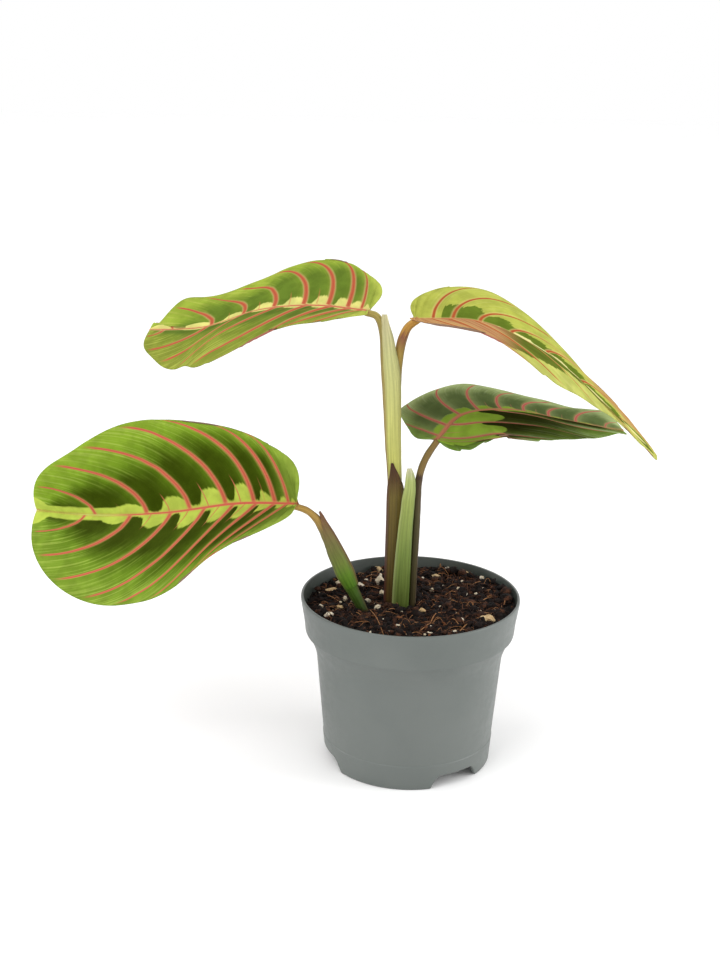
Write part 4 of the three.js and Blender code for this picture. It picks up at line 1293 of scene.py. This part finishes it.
def free_spot(draw, reach):
    """A place on the mix that no stalk stands on."""
    while True:
        a, r = draw.uniform(0, 2 * math.pi), reach * math.sqrt(draw.random())
        x, y = r * math.cos(a), r * math.sin(a)
        if all(math.hypot(x - fx, y - fy) > keep for fx, fy, keep in STALK_FEET):
            return x, y


def random_turn(draw, tilt):
    return draw.uniform(0, 6.28), draw.uniform(-tilt, tilt)


def make_crumbs(draw):
    crumbs = []
    for _ in range(CRUMB_COUNT):
        size = 0.3 + 1.6 * draw.random() ** 2.6
        x, y = free_spot(draw, 42.6 - 1.2 * size)
        shares = (draw.uniform(0.8, 1.3), draw.uniform(0.6, 1), draw.uniform(0.5, 0.9))
        turn = random_turn(draw, 0.6)
        # Tones 1 and 2, the brown and rust crumbs, are partly peat of those colours and partly
        # painted highlights of wet peat.
        tone = draw.choice((0, 0, 0, 0, 1, 1, 1, 2) if size < 1 else (0, 0, 0, 1))
        centre = (x, y, rough_height(x, y) + size * 0.25)
        crumbs.append((centre, [size * share for share in shares], turn, tone))
    for pixel, size in RIM_CLODS:
        x, y, z = on_mix(*pixel)
        turn = random_turn(draw, 0.6)
        sizes = (size, size * 0.8, size * 0.6)
        crumbs.append(((x, y, z + size * 0.9), sizes, turn, draw.choice((0, 1, 1))))
    # The brown and rust crumbs are partly painted highlights: the sheen of wet peat.
    materials = [
        peat("peat_crumb_dark", (8, 5, 4), (38, 22, 16)),
        peat("peat_crumb_brown", (34, 20, 13), (98, 60, 39)),
        peat("peat_crumb_rust", (60, 34, 20), (140, 90, 56)),
    ]
    scatter("peat_crumbs", crumbs, 2, materials, 0.8)


def make_grains(draw):
    """Perlite, wood chips and bits of bark."""
    grains = []
    for pixel, wide, high in PERLITE_BITS:
        x, y, z = on_mix(*pixel)
        sizes = (wide * 1.15, wide * 0.9, high * 1.15)
        grains.append(((x, y, z + high * 0.6), sizes, (draw.uniform(0, 6), 0.2), 0))
    for _ in range(GRAIN_COUNT):
        x, y = free_spot(draw, SPOT_REACH)
        size = 0.28 + 0.5 * draw.random() ** 2
        centre = (x, y, rough_height(x, y) + size * 0.5)
        grains.append((centre, (size, size * 0.8, size * 0.8), (draw.uniform(0, 6), 0), 0))
    for pixel, wide, high in WOOD_CHIPS:
        x, y, z = on_mix(*pixel)
        turn = (draw.uniform(-0.6, 0.6), 0.3)
        grains.append(((x, y, z + 0.8), (wide, wide * 0.6, high), turn, 1))
    for _ in range(BARK_COUNT):
        x, y = free_spot(draw, SPOT_REACH)
        size = draw.uniform(0.7, 1.5)
        turn = random_turn(draw, 0.5)
        centre = (x, y, rough_height(x, y) + 0.4)
        grains.append((centre, (size, size * 0.4, size * 0.3), turn, 2))
    materials = [
        peat("perlite", (222, 206, 172), (252, 244, 226), 0.8),
        peat("wood_chip", (204, 170, 120), (236, 212, 166), 0.75),
        peat("bark_bit", (104, 60, 34), (150, 98, 58), 0.8),
    ]
    scatter("perlite_and_wood", grains, 3, materials, 0.45)


def make_fibres(draw):
    threads = Skin()
    for start, end, lift in LONG_FIBRES:
        a, b = on_mix(*start), on_mix(*end)
        across, back = b[0] - a[0], b[1] - a[1]
        heading, length = math.atan2(back, across), math.hypot(across, back)
        curve = draw.uniform(-0.5, 0.5)
        add_fibre(threads, (a[0], a[1]), heading, length, 0.24, curve, lift, 1, 10)
    for _ in range(FIBRE_COUNT):
        x, y = free_spot(draw, 39.5)
        length = draw.uniform(3, 9)
        heading = draw.uniform(0, 2 * math.pi)
        end_x, end_y = x + length * math.cos(heading), y + length * math.sin(heading)
        if math.hypot(end_x, end_y) > 41.5:
            length *= 0.4
        lift = draw.uniform(0.1, 1.3) + (1.8 if draw.random() < 0.06 else 0)
        kind = draw.choice((0, 0, 0, 2, 2, 2, 1))
        radius, curve = draw.uniform(0.08, 0.18), draw.uniform(-1.6, 1.6)
        add_fibre(threads, (x, y), heading, length, radius, curve, lift, kind)
    materials = [
        peat("fibre_dark", (38, 20, 14), (74, 42, 27), 0.7),
        peat("fibre_rust", (150, 100, 60), (206, 152, 102), 0.7),
        peat("fibre_brown", (72, 42, 26), (124, 78, 50), 0.7),
    ]
    threads.build("peat_fibres", materials)


def make_mix():
    make_ground()
    draw = random.Random(MIX_SEED)
    make_crumbs(draw)
    make_grains(draw)
    make_fibres(draw)


# Camera, floor and lights.


def make_camera():
    data = bpy.data.cameras.new("camera")
    data.sensor_fit = "VERTICAL"
    data.sensor_height = FRAME_HEIGHT
    data.lens = LENS
    data.clip_start = 0.01
    camera = bpy.data.objects.new("camera", data)
    bpy.context.scene.collection.objects.link(camera)
    right, up, ahead = camera_axes()
    turn = Matrix(np.array([right, up, -ahead]).T.tolist()).to_4x4()
    camera.matrix_world = Matrix.Translation(place(CAMERA_PLACE)) @ turn
    bpy.context.scene.camera = camera


def make_light(name, where, target, size, power):
    data = bpy.data.lights.new(name, "AREA")
    data.shape = "RECTANGLE"
    data.size, data.size_y = size
    data.energy = power
    lamp = bpy.data.objects.new(name, data)
    bpy.context.scene.collection.objects.link(lamp)
    aim = Vector(target) - Vector(where)
    turn = aim.to_track_quat("-Z", "Y").to_matrix().to_4x4()
    lamp.matrix_world = Matrix.Translation(where) @ turn


def make_stage():
    mesh = bpy.data.meshes.new("floor")
    reach = 3.0
    corners = [(-reach, -reach, 0), (reach, -reach, 0), (reach, reach, 0), (-reach, reach, 0)]
    mesh.from_pydata(corners, [], [(0, 1, 2, 3)])
    floor = bpy.data.objects.new("floor", mesh)
    bpy.context.scene.collection.objects.link(floor)
    floor.location.z = -0.0001
    sh = Shader("floor_white", 0.9, 0.1)
    mesh.materials.append(sh.finish((0.98, 0.98, 0.98, 1.0)))
    world = bpy.data.worlds.new("studio")
    world.use_nodes = True
    background = world.node_tree.nodes["Background"]
    background.inputs["Color"].default_value = (1, 1, 1, 1)
    background.inputs["Strength"].default_value = 1.0
    bpy.context.scene.world = world
    make_light("key", (-0.7, -0.9, 1.3), (0, 0, 0.08), (0.9, 0.9), 9)
    make_light("fill", (1.3, -0.15, 0.6), (0, 0, 0.08), (0.7, 1.0), 9)
    make_light("side", (-1.3, 0.1, 0.45), (0, 0, 0.05), (0.6, 0.8), 4)
    bpy.context.scene.view_settings.view_transform = "Standard"


make_camera()
make_stage()
for leaf_name in LEAVES:
    make_blade(leaf_name)
make_stalks()
make_pot()
make_mix()
